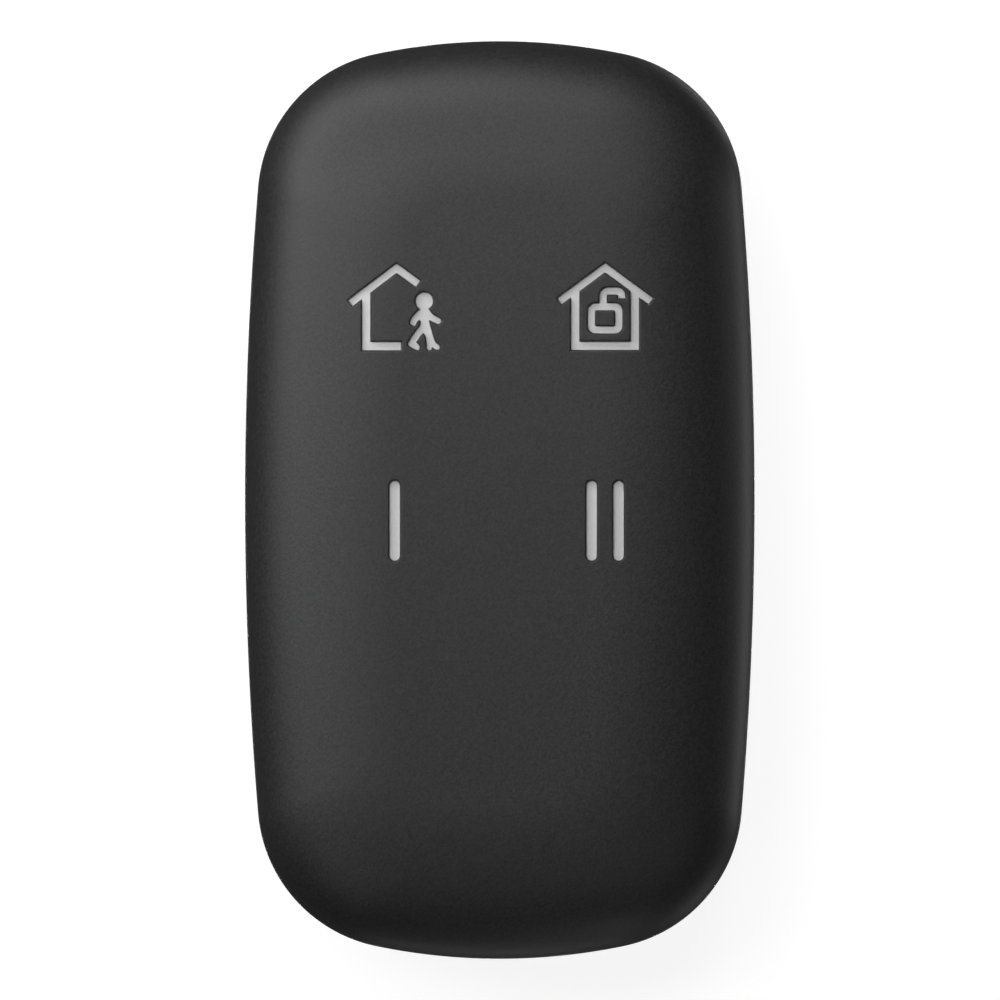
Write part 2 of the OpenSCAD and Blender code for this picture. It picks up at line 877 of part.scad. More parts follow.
module crystal()
    color("#d0d2d5")
        translate([crystal_x, chip_y, 0]) {
            block([crystal_length, crystal_width, crystal_height / 2], board_top);
            translate([0, 0, board_top])
                linear_extrude(crystal_height)
                    polygon(round_box([0, 0], [crystal_length, crystal_width] * 0.9, crystal_width * 0.15));
        }

module antenna_strip()
    color("#c9a86a")
        translate([0, 0, board_top])
            linear_extrude(antenna_height)
                intersection() {
                    difference() {
                        polygon(outline(antenna_inset));
                        polygon(outline(antenna_inset + antenna_sheet));
                    }
                    translate([-antenna_reach, 0])
                        square([2 * antenna_reach, half_length]);
                }

module chip_passives()
    color("#b79a6b")
        for (row = [0 : passive_rows - 1])
            translate([-crystal_x, chip_y + (row - (passive_rows - 1) / 2) * 2 * passive_width, 0])
                block([passive_length, passive_width, passive_height], board_top);

module coin_cell()
    color("#d3d5d6")
        translate([0, cell_y, cell_bottom])
            rotate_extrude()
                polygon([
                    [0, 0],
                    [cell_radius * 0.96, 0],
                    [cell_radius, cell_radius * 0.04],
                    [cell_radius, cell_thickness * 0.84],
                    [cell_radius * 0.97, cell_thickness * 0.92],
                    [cell_radius * 0.88, cell_thickness * 0.92],
                    [cell_radius * 0.86, cell_thickness],
                    [0, cell_thickness]
                ]);

// A bent strip whose path lies upright along X, centred on its width
module bent_strip(path)
    translate([0, contact_width / 2, 0])
        rotate([90, 0, 0])
            linear_extrude(contact_width)
                polygon(strip(path, contact_sheet));

module negative_contact()
    color("#d8c59a") {
        foot = board_bottom - contact_sheet / 2;
        touch = cell_top + contact_sheet / 2 + fit_gap;
        reach = cell_radius * 0.6;
        translate([0, cell_y, 0])
            bent_strip([[-reach, foot], [-reach / 2, foot], [reach / 3, touch], [reach / 2, (foot + touch) / 2]]);
    }

module positive_contact()
    color("#d8c59a") {
        foot = board_bottom - contact_sheet / 2;
        touch = cell_radius + contact_sheet / 2 + fit_gap;
        stand = touch + 2 * contact_sheet;
        middle = (cell_bottom + cell_top) / 2;
        translate([0, cell_y, 0])
            rotate([0, 0, 90])
                bent_strip([
                    [cell_radius + contact_width, foot],
                    [stand + contact_sheet, foot],
                    [touch, middle],
                    [stand, middle - contact_space]
                ]);
    }

module battery_door()
    color("#37373a")
        translate([0, cell_y, 0])
            difference() {
                union() {
                    bar(door_radius, door_recess, groove_top);
                    bar(door_radius - seal_section, door_recess, door_top);
                    for (i = [0 : lug_count - 1])
                        rotate([0, 0, i * lug_step - lug_angle / 2])
                            rotate_extrude(angle = lug_angle)
                                translate([door_radius - lug_reach, lug_bottom])
                                    square([2 * lug_reach, lug_height]);
                }
                translate([0, 0, door_recess - cut])
                    linear_extrude(slot_depth + cut)
                        polygon(round_line([-(slot_length - slot_width) / 2, 0],
                            [(slot_length - slot_width) / 2, 0], slot_width / 2));
            }

module door_seal()
    color("#7c2f2a")
        translate([0, cell_y, seal_middle])
            rotate_extrude()
                translate([seal_radius, 0])
                    circle(r = seal_section / 2 - fit_gap);

front_skin();
front_frame();
rear_cover();
case_gasket();
case_screws();
keyring_pin();
for (key = keys)
    key_part(key);
sign_inlay();
circuit_board();
for (key = keys)
    switch_base(key);
for (key = keys)
    switch_cover(key);
for (key = keys)
    switch_stem(key);
for (key = keys)
    switch_dome(key);
switch_terminals();
radio_chip();
crystal();
antenna_strip();
chip_passives();
coin_cell();
negative_contact();
positive_contact();
battery_door();
door_seal();
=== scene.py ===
# %% [markdown]
# # An alarm key fob, dressed in Blender
# The solids of the fob come in as a frame of named nodes on moving bodies. This lesson covers them with the
# surfaces that the eye meets: a soft black skin with sign windows, light grey signs, a textured rear with a
# battery door, screws and a steel cross pin. Sizes are in millimetres and turn into metres in one place.

import math

import bmesh
import bpy
import numpy as np
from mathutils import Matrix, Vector
from mathutils.geometry import delaunay_2d_cdt


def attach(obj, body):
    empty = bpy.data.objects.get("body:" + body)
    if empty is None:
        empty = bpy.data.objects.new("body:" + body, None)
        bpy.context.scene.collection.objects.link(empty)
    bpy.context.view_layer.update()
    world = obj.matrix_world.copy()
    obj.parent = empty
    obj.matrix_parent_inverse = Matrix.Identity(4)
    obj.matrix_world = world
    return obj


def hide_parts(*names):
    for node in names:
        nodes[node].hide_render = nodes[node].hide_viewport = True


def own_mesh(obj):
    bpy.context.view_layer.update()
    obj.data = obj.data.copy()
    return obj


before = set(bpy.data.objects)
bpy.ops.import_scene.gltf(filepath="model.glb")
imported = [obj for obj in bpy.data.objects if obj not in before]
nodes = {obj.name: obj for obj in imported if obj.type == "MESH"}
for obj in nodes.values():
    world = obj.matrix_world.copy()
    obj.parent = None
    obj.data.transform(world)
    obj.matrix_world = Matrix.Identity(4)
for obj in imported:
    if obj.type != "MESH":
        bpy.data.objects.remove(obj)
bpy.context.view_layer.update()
scene = bpy.context.scene
MM = 0.001

# %% [markdown]
# ## Three small helpers
# A colour is written as a designer's hex value and turned to the linear light that shaders work in. One function
# adds any node to any tree, with its settings, its values and its links, so that a tree reads like a parts list.
# The third turns points and faces into a mesh object whose place is in its mesh.


# %% Helpers
def linear(code):
    """An sRGB hex value as linear RGBA."""
    parts = [int(code[i : i + 2], 16) / 255 for i in (1, 3, 5)]
    return [p / 12.92 if p <= 0.04045 else ((p + 0.055) / 1.055) ** 2.4 for p in parts] + [1.0]


def add(tree, kind, values=None, links=None, **settings):
    """One node: settings are its properties, values fill its sockets, links feed them from a node or a socket."""
    node = tree.nodes.new(kind)
    for name, value in settings.items():
        setattr(node, name, value)
    for socket, value in (values or {}).items():
        node.inputs[socket].default_value = value
    for socket, source in (links or {}).items():
        tree.links.new(source.outputs[0] if isinstance(source, bpy.types.Node) else source, node.inputs[socket])
    return node


def make(name, points, faces, **attributes):
    """A mesh object from points in millimetres, with one number per point for each attribute."""
    mesh = bpy.data.meshes.new(name)
    mesh.from_pydata((np.asarray(points, float) * MM).tolist(), [], [list(map(int, f)) for f in faces])
    for key, numbers in attributes.items():
        mesh.attributes.new(key, "FLOAT", "POINT").data.foreach_set("value", np.asarray(numbers, np.float32))
    piece = bpy.data.objects.new(name, mesh)
    scene.collection.objects.link(piece)
    return piece


# %% [markdown]
# ## The rule of the pebble
# Seen from the front, the case is four long arcs with rounded corners. Every smaller outline inside it follows the
# same rule: the arcs move in by the inset and the corners lose radius. The front and the rear then roll over from
# that outline as a superellipse. The sizes repeat those of the solids, so that the pieces land where they belong.

# %% The outline at an inset
HALF_WIDTH, HALF_LENGTH = 18.05, 32.5
SIDE_RADIUS, END_RADIUS = 267.0, 43.3
CORNER, CORNER_FADE = 10.5, 0.6
SIDE_STEPS, CORNER_STEPS, END_STEPS = 16, 26, 14
DEEPEST, HALVINGS = 16.0, 34
side_middle = np.array([HALF_WIDTH - SIDE_RADIUS, 0.0])
end_middle = np.array([0.0, HALF_LENGTH - END_RADIUS])


def corner_of(inset):
    """Radius and middle of the corner arc at an inset: it touches the side's arc and the end's arc."""
    radius = CORNER - CORNER_FADE * inset
    apart = np.linalg.norm(end_middle - side_middle)
    ahead = (end_middle - side_middle) / apart
    r, s = SIDE_RADIUS - inset - radius, END_RADIUS - inset - radius
    along = (r * r - s * s + apart * apart) / (2 * apart)
    across = np.sqrt(r * r - along * along)
    return radius, np.stack([
        side_middle[0] + along * ahead[0] - across * ahead[1],
        side_middle[1] + along * ahead[1] + across * ahead[0],
    ], -1)


def turns(middle):
    """Angles at which the corner arc meets the side and the end."""
    side, end = middle - side_middle, middle - end_middle
    return np.arctan2(side[..., 1], side[..., 0]), np.arctan2(end[..., 1], end[..., 0])


def outline(inset):
    """Points round the case at an inset, anticlockwise from the right-hand side."""
    radius, middle = corner_of(inset)
    side_turn, end_turn = turns(middle)
    arcs = [
        (side_middle, SIDE_RADIUS - inset, 0.0, side_turn, SIDE_STEPS),
        (middle, radius, side_turn, end_turn, CORNER_STEPS),
        (end_middle, END_RADIUS - inset, end_turn, math.pi / 2, END_STEPS),
    ]
    quarter = [
        centre + size * np.array([math.cos(t), math.sin(t)])
        for centre, size, start, stop, steps in arcs
        for t in np.linspace(start, stop, steps, endpoint=False)
    ]
    q = np.array(quarter + [[0.0, HALF_LENGTH - inset]])
    flip = q[:0:-1] * [-1, 1]
    return np.concatenate([q[:-1], flip, -q[:-1], -flip])


def inset_of(points):
    """How far inside the outline each point lies, by halving the interval."""
    p = np.abs(points)
    low, high = np.zeros(len(p)), np.full(len(p), DEEPEST)
    for _ in range(HALVINGS):
        inset = (low + high) / 2
        radius, middle = corner_of(inset)
        side_turn, end_turn = turns(middle)
        angle = np.arctan2(p[:, 1] - middle[:, 1], p[:, 0] - middle[:, 0])
        beyond = np.where(
            angle < side_turn,
            np.linalg.norm(p - side_middle, axis=1) - SIDE_RADIUS + inset,
            np.where(
                angle > end_turn,
                np.linalg.norm(p - end_middle, axis=1) - END_RADIUS + inset,
                np.linalg.norm(p - middle, axis=1) - radius,
            ),
        )
        low, high = np.where(beyond < 0, inset, low), np.where(beyond < 0, high, inset)
    return (low + high) / 2


AROUND = len(outline(0.0))
print("outline:", AROUND, "points round, box", outline(0.0).max(0) * 2)

# %% [markdown]
# ## The rule as Geometry Nodes
# A flat plan of triangles becomes the rolled surface when each point is lifted by the superellipse of its inset.
# That is one rule for the skin, the signs, the keys' caps and the rear, so it is one node tree with named sizes. The
# plan carries four numbers per point: its inset, the wall it lies under, its distance from a cut edge, which rounds
# that edge over, and an extra lift for the rounded rims.


# %% The lift tree
def new_tree(name, **sockets):
    """A Geometry Nodes tree with these inputs and one geometry output, and the sockets of its inputs."""
    tree = bpy.data.node_groups.new(name, "GeometryNodeTree")
    for socket, kind in sockets.items():
        tree.interface.new_socket(socket, in_out="INPUT", socket_type="NodeSocket" + kind)
    tree.interface.new_socket("Geometry", in_out="OUTPUT", socket_type="NodeSocketGeometry")
    return tree, add(tree, "NodeGroupInput").outputs


def settle(piece, modifier):
    """Keeps what a modifier makes of a piece as its plain mesh."""
    shaped = bpy.data.meshes.new_from_object(piece.evaluated_get(bpy.context.evaluated_depsgraph_get()))
    piece.modifiers.remove(modifier)
    piece.data, shaped.name = shaped, piece.name
    return piece


def grow(piece, tree, **values):
    """Runs a node tree on a piece with these inputs."""
    modifier = piece.modifiers.new(tree.name, "NODES")
    modifier.node_group = tree
    for item in tree.interface.items_tree:
        if item.in_out == "INPUT" and item.name in values:
            modifier[item.identifier] = values[item.name]
    return settle(piece, modifier)


SIZES = ("Base", "Rise", "Reach", "Fullness", "Foot", "Lip", "Direction")
lift_tree, sizes = new_tree("pebble_lift", Geometry="Geometry", **dict.fromkeys(SIZES, "Float"), Finish="Material")
wires = {name: sizes[name] for name in SIZES}
for name in ("inset", "wall", "edge", "extra"):
    wires[name] = add(lift_tree, "GeometryNodeInputNamedAttribute", {"Name": name}, data_type="FLOAT").outputs[0]
# Each row is one Math node: the wire it makes, its operation and what feeds it
FORMULA = [
    ("depth", "SUBTRACT", "inset", "wall"),
    ("width", "SUBTRACT", "Reach", "wall"),
    ("share", "DIVIDE", "depth", "width"),
    ("ahead", "SUBTRACT", 1.0, "share"),
    ("ahead", "MAXIMUM", "ahead", 0.0),
    ("bulge", "POWER", "ahead", "Fullness"),
    ("bulge", "SUBTRACT", 1.0, "bulge"),
    ("bulge", "MAXIMUM", "bulge", 0.0),
    ("root", "DIVIDE", 1.0, "Fullness"),
    ("bulge", "POWER", "bulge", "root"),
    ("rise", "SUBTRACT", "Rise", "wall"),
    ("height", "MULTIPLY", "bulge", "rise"),
    ("height", "MAXIMUM", "height", "Foot"),
    # A quarter circle takes the lip's edge down: 1 - sqrt(1 - (1 - edge / lip)^2) of its radius
    ("near", "DIVIDE", "edge", "Lip"),
    ("near", "MAXIMUM", "near", 0.0),
    ("near", "MINIMUM", "near", 1.0),
    ("near", "SUBTRACT", 1.0, "near"),
    ("near", "POWER", "near", 2.0),
    ("near", "SUBTRACT", 1.0, "near"),
    ("near", "SQRT", "near"),
    ("near", "SUBTRACT", 1.0, "near"),
    ("drop", "MULTIPLY", "near", "Lip"),
    ("height", "SUBTRACT", "height", "drop"),
    ("height", "ADD", "height", "extra"),
    ("place", "MULTIPLY_ADD", "height", "Direction", "Base"),
    ("metres", "MULTIPLY", "place", MM),
]
for name, operation, *feeds in FORMULA:
    values = {k: feed for k, feed in enumerate(feeds) if not isinstance(feed, str)}
    links = {k: wires[feed] for k, feed in enumerate(feeds) if isinstance(feed, str)}
    wires[name] = add(lift_tree, "ShaderNodeMath", values, links, operation=operation).outputs[0]
up = add(lift_tree, "ShaderNodeCombineXYZ", {}, {"Z": wires["metres"]})
lifted = add(lift_tree, "GeometryNodeSetPosition", {}, {"Geometry": sizes["Geometry"], "Offset": up})
shaded = add(lift_tree, "GeometryNodeSetShadeSmooth", {}, {"Geometry": lifted})
real = add(lift_tree, "GeometryNodeRealizeInstances", {}, {"Geometry": shaded})
dressed = add(lift_tree, "GeometryNodeSetMaterial", {}, {"Geometry": real, "Material": sizes["Finish"]})
add(lift_tree, "NodeGroupOutput", {}, {"Geometry": dressed})


def lift(name, flat, faces, inset, wall, edge, extra, **values):
    """A piece from a flat plan and the four numbers per point, lifted by the tree."""
    spots = np.column_stack([flat, np.zeros(len(flat))])
    return grow(make(name, spots, faces, inset=inset, wall=wall, edge=edge, extra=extra), lift_tree, **values)


FULLNESS = 2.2
FRONT = {"Base": 6.4, "Rise": 6.6, "Reach": 11.0, "Fullness": FULLNESS, "Direction": 1.0}
print("lift tree:", len(lift_tree.nodes), "nodes")

# %% [markdown]
# ## The signs as distance fields
# A sign is a few straight strokes, a padlock, or a walker with a round head. A field that gives the distance to the
# nearest stroke draws all of them at once, and reading it at another level gives the same sign a little wider: the
# sign's own edge, the window round it, and the rings that round the window's lip. Marching squares follows a level as
# a loop.

# %% Strokes
KEY_SPOTS = {"away": (-7.45, 13.7), "disarm": (7.45, 13.7), "one": (-7.45, -1.5), "two": (7.45, -1.5)}
WALL_LINE, ROOF_LINE, LOCK_LINE = 0.6, 0.55, 0.52
BAR_WIDTH, BAR_LENGTH, BAR_PITCH, BAR_RAISE, BAR_SHIFT = 0.76, 5.68, 1.9, 0.03, 0.03
OPEN_ROOF, OPEN_WALLS = [(-3.12, 0.21), (0.16, 2.68), (1.68, 1.57)], [(-1.99, 1.01), (-1.99, -2.83), (0.49, -2.83)]
HOUSE_ROOF = [(-3.24, 0.34), (0, 2.72), (3.24, 0.34)]
HOUSE_WALLS = [(-2.11, 1.1), (-2.11, -2.81), (2.11, -2.81), (2.11, 1.1)]
LOCK_SPOT, LOCK_SIZE, LOCK_ROUND, LOCK_HOLE_ROUND, SHACKLE_BEND = (0, -0.86), (2.46, 2.16), 0.55, 0.12, 0.34
SHACKLE_FOOT, SHACKLE_END, SHACKLE_STEPS = (-0.14, -0.86), (1.18, 0.54), 6
SHACKLE_LEFT, SHACKLE_RIGHT = (0.2, 0.73), (0.84, 0.73)
HEAD_SPOT, HEAD_SIZE = (2.12, 0.36), 0.63
WALKER = [
    (1.85, -0.18), (1.62, -0.37), (1.33, -0.66), (1.14, -0.97), (1.08, -1.15), (1.14, -1.29), (1.43, -1.42),
    (1.52, -1.34), (1.6, -1.13), (1.74, -0.99), (1.82, -0.98), (1.85, -1.13), (1.82, -1.37), (1.4, -1.91),
    (1.02, -2.48), (0.95, -2.66), (0.98, -2.79), (1.25, -2.96), (1.6, -3.12), (1.74, -3.11), (1.8, -2.99),
    (1.79, -2.79), (1.72, -2.68), (1.6, -2.64), (1.56, -2.55), (1.81, -2.17), (2.01, -1.93), (2.09, -1.93),
    (2.22, -2.2), (2.27, -2.46), (2.27, -2.86), (2.3, -3.05), (2.39, -3.14), (2.6, -3.12), (2.65, -3.05),
    (2.65, -2.95), (2.71, -2.92), (2.8, -3.02), (2.92, -3.09), (3.11, -3.09), (3.21, -3.01), (3.22, -2.85),
    (3.16, -2.74), (2.93, -2.58), (2.84, -2.42), (2.64, -1.69), (2.48, -1.18), (2.45, -1.03), (2.54, -1.02),
    (3.06, -1.29), (3.19, -1.27), (3.32, -1.11), (3.32, -0.97), (3.24, -0.88), (2.78, -0.63), (2.57, -0.4),
    (2.39, -0.18),
]
NO_LENGTH = 1e-12


def to_segment(p, a, b):
    """Distance from points to a segment."""
    a, run = np.asarray(a, float), np.subtract(b, a)
    t = np.clip((p - a) @ run / max(run @ run, NO_LENGTH), 0, 1)
    return np.linalg.norm(p - a - t[..., None] * run, axis=-1)


def to_polygon(p, corners):
    """Signed distance to a polygon, negative inside."""
    far, within = np.full(p.shape[:-1], np.inf), np.zeros(p.shape[:-1], bool)
    for a, b in zip(corners, np.roll(corners, -1, 0)):
        far = np.minimum(far, to_segment(p, a, b))
        if a[1] != b[1]:
            crossing = (a[1] > p[..., 1]) != (b[1] > p[..., 1])
            reach = a[0] + (p[..., 1] - a[1]) * (b[0] - a[0]) / (b[1] - a[1])
            within ^= crossing & (p[..., 0] < reach)
    return np.where(within, -far, far)


def strip(path, line):
    """Outline of a stroke along a path, with mitred bends and square ends."""
    path = np.array(path, float)
    step = np.diff(path, axis=0)
    step /= np.linalg.norm(step, axis=1)[:, None]
    left = np.stack([-step[:, 1], step[:, 0]], 1)
    lean = np.concatenate([left[:1], left[:-1] + left[1:], left[-1:]])
    partner = np.concatenate([left[:1], left[1:], left[-1:]])
    lean /= np.sum(lean * partner, 1)[:, None]
    return np.concatenate([path - lean * line / 2, (path + lean * line / 2)[::-1]])


def to_round_box(p, middle, size, corner):
    """Signed distance to a rectangle with round corners."""
    q = np.abs(p - middle) - np.array(size) / 2 + corner
    return np.linalg.norm(np.maximum(q, 0), axis=-1) + np.minimum(q.max(-1), 0) - corner


def arc(middle, radius, start, stop, steps):
    """Points on an arc between two angles in degrees."""
    t = np.radians(np.linspace(start, stop, steps + 1))
    return np.asarray(middle) + radius * np.stack([np.cos(t), np.sin(t)], 1)


def sign_field(name, p):
    """Signed distance to a key's sign, about the middle of the key."""
    if name == "away":
        strokes = [
            to_polygon(p, strip(OPEN_ROOF, ROOF_LINE)),
            to_polygon(p, strip(OPEN_WALLS, WALL_LINE)),
            np.linalg.norm(p - HEAD_SPOT, axis=-1) - HEAD_SIZE,
            to_polygon(p, WALKER),
        ]
    elif name == "disarm":
        left = arc(SHACKLE_LEFT, SHACKLE_BEND, 180, 90, SHACKLE_STEPS)
        right = arc(SHACKLE_RIGHT, SHACKLE_BEND, 90, 0, SHACKLE_STEPS)
        shackle = to_polygon(p, strip([SHACKLE_FOOT, *left, *right, SHACKLE_END], LOCK_LINE))
        lock = np.minimum(to_round_box(p, LOCK_SPOT, LOCK_SIZE, LOCK_ROUND), shackle)
        hole = to_round_box(p, LOCK_SPOT, np.subtract(LOCK_SIZE, 2 * LOCK_LINE), LOCK_HOLE_ROUND)
        strokes = [
            to_polygon(p, strip(HOUSE_ROOF, ROOF_LINE)),
            to_polygon(p, strip(HOUSE_WALLS, WALL_LINE)),
            np.maximum(lock, -hole),
        ]
    else:
        places = [BAR_SHIFT] if name == "one" else [-BAR_PITCH / 2, BAR_PITCH / 2]
        low, high = [BAR_RAISE + side * (BAR_LENGTH - BAR_WIDTH) / 2 for side in (-1, 1)]
        strokes = [to_segment(p, (x, low), (x, high)) - BAR_WIDTH / 2 for x in places]
    return np.minimum.reduce(strokes)


# %% Loops of a field
PITCH, GRID_REACH = 0.025, (4.4, 4.0)
SLACK, LONGEST = 0.002, 0.35
grid = np.stack(np.meshgrid(*[np.arange(-r, r, PITCH) for r in GRID_REACH], indexing="ij"), -1)


def thin_out(loop, slack):
    """Fewer points on a closed loop: those that stray less than the slack from a straight line go."""
    keep = np.zeros(len(loop), bool)
    far = int(np.argmax(np.linalg.norm(loop - loop[0], axis=1)))
    ring = np.concatenate([loop, loop[:1]])
    spans = [(0, far), (far, len(loop))]
    keep[[0, far]] = True
    while spans:
        a, b = spans.pop()
        if b - a < 2:
            continue
        off = to_segment(ring[a + 1 : b], ring[a], ring[b])
        if off.max() > slack:
            middle = a + 1 + int(np.argmax(off))
            keep[middle] = True
            spans += [(a, middle), (middle, b)]
    return loop[keep]


def fill_in(loop, longest):
    """More points on a closed loop, so that no step is longer than given."""
    points = []
    for a, b in zip(loop, np.roll(loop, -1, 0)):
        steps = max(1, math.ceil(np.linalg.norm(b - a) / longest))
        points += [a + (b - a) * i / steps for i in range(steps)]
    return np.array(points)


def loops_at(field, level):
    """Closed loops where a field on the grid crosses a level."""
    inside, onward = field < level, {}
    mixed = inside[:-1, :-1].astype(int) + inside[1:, :-1] + inside[1:, 1:] + inside[:-1, 1:]
    for i, j in np.argwhere((mixed > 0) & (mixed < 4)).tolist():
        ring = [(i, j), (i + 1, j), (i + 1, j + 1), (i, j + 1)]
        sides = [(ring[k], ring[(k + 1) % 4]) for k in range(4)]
        leaving = [tuple(sorted(s)) for s in sides if inside[s[0]] and not inside[s[1]]]
        coming = [tuple(sorted(s)) for s in sides if inside[s[1]] and not inside[s[0]]]
        onward.update(zip(leaving, coming))
    loops = []
    while onward:
        start, here = next(iter(onward.items()))
        del onward[start]
        chain = [start]
        while here != start:
            chain.append(here)
            here = onward.pop(here)
        points = []
        for a, b in chain:
            t = (level - field[a]) / (field[b] - field[a])
            points.append(grid[a] * (1 - t) + grid[b] * t)
        loops.append(fill_in(thin_out(np.array(points), SLACK), LONGEST))
    return loops


fields = {name: sign_field(name, grid) for name in KEY_SPOTS}
print("signs:", {name: len(loops_at(field, 0.0)) for name, field in fields.items()}, "loops")

# %% [markdown]
# ## From loops to a plan
# A constrained Delaunay triangulation fills the space between loops with well-shaped triangles and keeps every loop
# as an edge. Loose points between the loops give the roll enough facets. Triangles on the wrong side of an edge are
# dropped, and what is left is a flat sheet with clean holes.

# %% Plan triangulation
WHOLE_HULL, SAME_POINT = 0, 1e-6


def triangulate(loops, loose):
    """Points and triangles between closed loops and loose points."""
    points, edges = [], []
    for loop in loops:
        first = len(points)
        points += [Vector(p) for p in loop]
        edges += [(first + i, first + (i + 1) % len(loop)) for i in range(len(loop))]
    points += [Vector(p) for p in loose]
    spots, _, faces, sources, _, _ = delaunay_2d_cdt(points, edges, [], WHOLE_HULL, SAME_POINT, True)
    where = {old: new for new, olds in enumerate(sources) for old in olds}
    return np.array([list(s) for s in spots]), np.array([list(f) for f in faces]), where


def facing_up(points, faces):
    """The same triangles, all turned the same way."""
    a, b, c = (points[faces[:, k]] for k in range(3))
    turned = np.cross(b - a, c - a) < 0
    faces[turned] = faces[turned][:, ::-1]
    return faces


def compact(faces):
    """Triangles on their own points only: the points in use, and the faces renumbered."""
    used, numbers = np.unique(faces, return_inverse=True)
    return used, numbers.reshape(faces.shape)


def rims(faces):
    """Directed edges that have a face on one side only."""
    pairs = np.concatenate([faces[:, [0, 1]], faces[:, [1, 2]], faces[:, [2, 0]]])
    both = set(map(tuple, pairs.tolist()))
    return [(a, b) for a, b in both if (b, a) not in both]


def slab(faces, count):
    """A closed slab from one sheet: the sheet, its copy below, and a wall along every rim."""
    below = faces[:, ::-1] + count
    walls = [(a, a + count, b + count, b) for a, b in rims(faces)]
    return faces.tolist() + below.tolist() + walls


# %% The plan of the front
SIGN_GAP, SIGN_RECESS, SKIN_WALL = 0.045, 0.3, 1.0
LIP = 0.05
LIP_RINGS = [0.0, 0.007, 0.02, LIP, 0.14]
INNER, INNER_CLEAR, LIP_CLEAR = 5.0, 0.3, 0.15
SPACING, ROW_SHARE, LOOSE_REACH = 0.62, 0.866, (16.0, 30.0)


def sign_distance(points):
    """Distance to the nearest sign over the whole front."""
    return np.minimum.reduce([sign_field(name, points - spot) for name, spot in KEY_SPOTS.items()])


ring_loop = outline(INNER)
window_loops = [
    loop + spot
    for name, spot in KEY_SPOTS.items()
    for away in LIP_RINGS
    for loop in loops_at(fields[name], SIGN_GAP + away)
]
row = np.arange(-LOOSE_REACH[0], LOOSE_REACH[0], SPACING)
levels = np.arange(-LOOSE_REACH[1], LOOSE_REACH[1], SPACING * ROW_SHARE)
loose = np.concatenate([
    np.stack([row + (k % 2) * SPACING / 2, np.full(len(row), y)], 1) for k, y in enumerate(levels)
])
loose = loose[inset_of(loose) > INNER + INNER_CLEAR]
loose = loose[sign_distance(loose) > SIGN_GAP + LIP_RINGS[-1] + LIP_CLEAR]
plan, plan_faces, plan_index = triangulate([ring_loop] + window_loops, loose)
plan_faces = facing_up(plan, plan_faces)
middles = plan[plan_faces].mean(1)
plan_faces = plan_faces[(inset_of(middles) > INNER) & (sign_distance(middles) > SIGN_GAP)]
middles = plan[plan_faces].mean(1)
house = np.array([*HOUSE_WALLS, HOUSE_ROOF[1]]) + KEY_SPOTS["disarm"]
in_room = to_polygon(middles, house) < 0
print("front plan:", len(plan_faces), "triangles,", int(in_room.sum()), "of them inside the house sign")

# %% [markdown]
# ## One recipe for moulded, cut and plated finishes
# Real surfaces are never one flat colour: a mould leaves grain, rolling and grinding leave lines. Every finish here
# starts from the same recipe. A grain pattern of a real size in millimetres drives two close colours, the roughness
# and a shallow relief. It reads the piece's own coordinates, so it stays put when the piece moves.


# %% The recipe
GRAIN_BAND = {"From Min": 0.3, "From Max": 0.7}
GRAIN_LAYERS = {"Detail": 3.0, "Roughness": 0.55}


def blank(owner):
    """The emptied node tree of a new material or world."""
    owner.use_nodes = True
    owner.node_tree.nodes.clear()
    return owner.node_tree


def finish(name, dark, light, rough, grain, stretch=(1, 1, 1), turn=0.0, relief=0.0, spread=0.06, **sockets):
    """A material: colours as hex, grain and relief in mm, the grain's stretch by axis after a turn in degrees."""
    material = bpy.data.materials.new(name)
    tree = blank(material)
    place = add(tree, "ShaderNodeTexCoord")
    laid = add(
        tree, "ShaderNodeMapping", {"Scale": stretch, "Rotation": (0, 0, math.radians(turn))},
        {"Vector": place.outputs["Object"]}, vector_type="TEXTURE", label="place",
    )
    pattern = add(
        tree, "ShaderNodeTexNoise", {"Scale": 1 / (grain * MM), **GRAIN_LAYERS}, {"Vector": laid}, label="grain",
    )
    tint = add(tree, "ShaderNodeValToRGB", {}, {"Fac": pattern.outputs["Fac"]}, label="tint")
    for stop, position, code in zip(tint.color_ramp.elements, GRAIN_BAND.values(), (dark, light)):
        stop.position, stop.color = position, linear(code)
    gloss = add(
        tree, "ShaderNodeMapRange", {**GRAIN_BAND, "To Min": rough - spread, "To Max": rough + spread},
        {"Value": pattern.outputs["Fac"]},
    )
    shader = add(tree, "ShaderNodeBsdfPrincipled", sockets, {"Base Color": tint, "Roughness": gloss}, label="surface")
    if relief:
        bump = add(
            tree, "ShaderNodeBump", {"Strength": 1.0, "Distance": relief * MM}, {"Height": pattern.outputs["Fac"]},
            label="relief",
        )
        tree.links.new(bump.outputs["Normal"], shader.inputs["Normal"])
    add(tree, "ShaderNodeOutputMaterial", {}, {"Surface": shader})
    return material


def part(material, label):
    """A labelled node of a finish."""
    return next(n for n in material.node_tree.nodes if n.label == label)


def wear(piece, material, body, slot, *stands_for):
    """Dresses a finished piece, lets it ride on its body and stand for its solids."""
    piece.data.materials.clear()
    piece.data.materials.append(material)
    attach(piece, body)
    if stands_for:
        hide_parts(*stands_for)
    print(piece.name, "has", len(piece.data.polygons), "faces on", body)
    return piece


# %% [markdown]
# ## The soft front skin
# The front of the real fob is a thermoplastic rubber, moulded over a hard frame. It is black, matt and faintly
# leathery, and it runs over the keys without a joint: only the signs are cut out of it. The outer roll is a loft of
# rings, packed closely where it turns, and the middle is the plan with its windows. Both are one closed shell with
# an inner face a wall's thickness below, and the lift tree gives both faces their height.

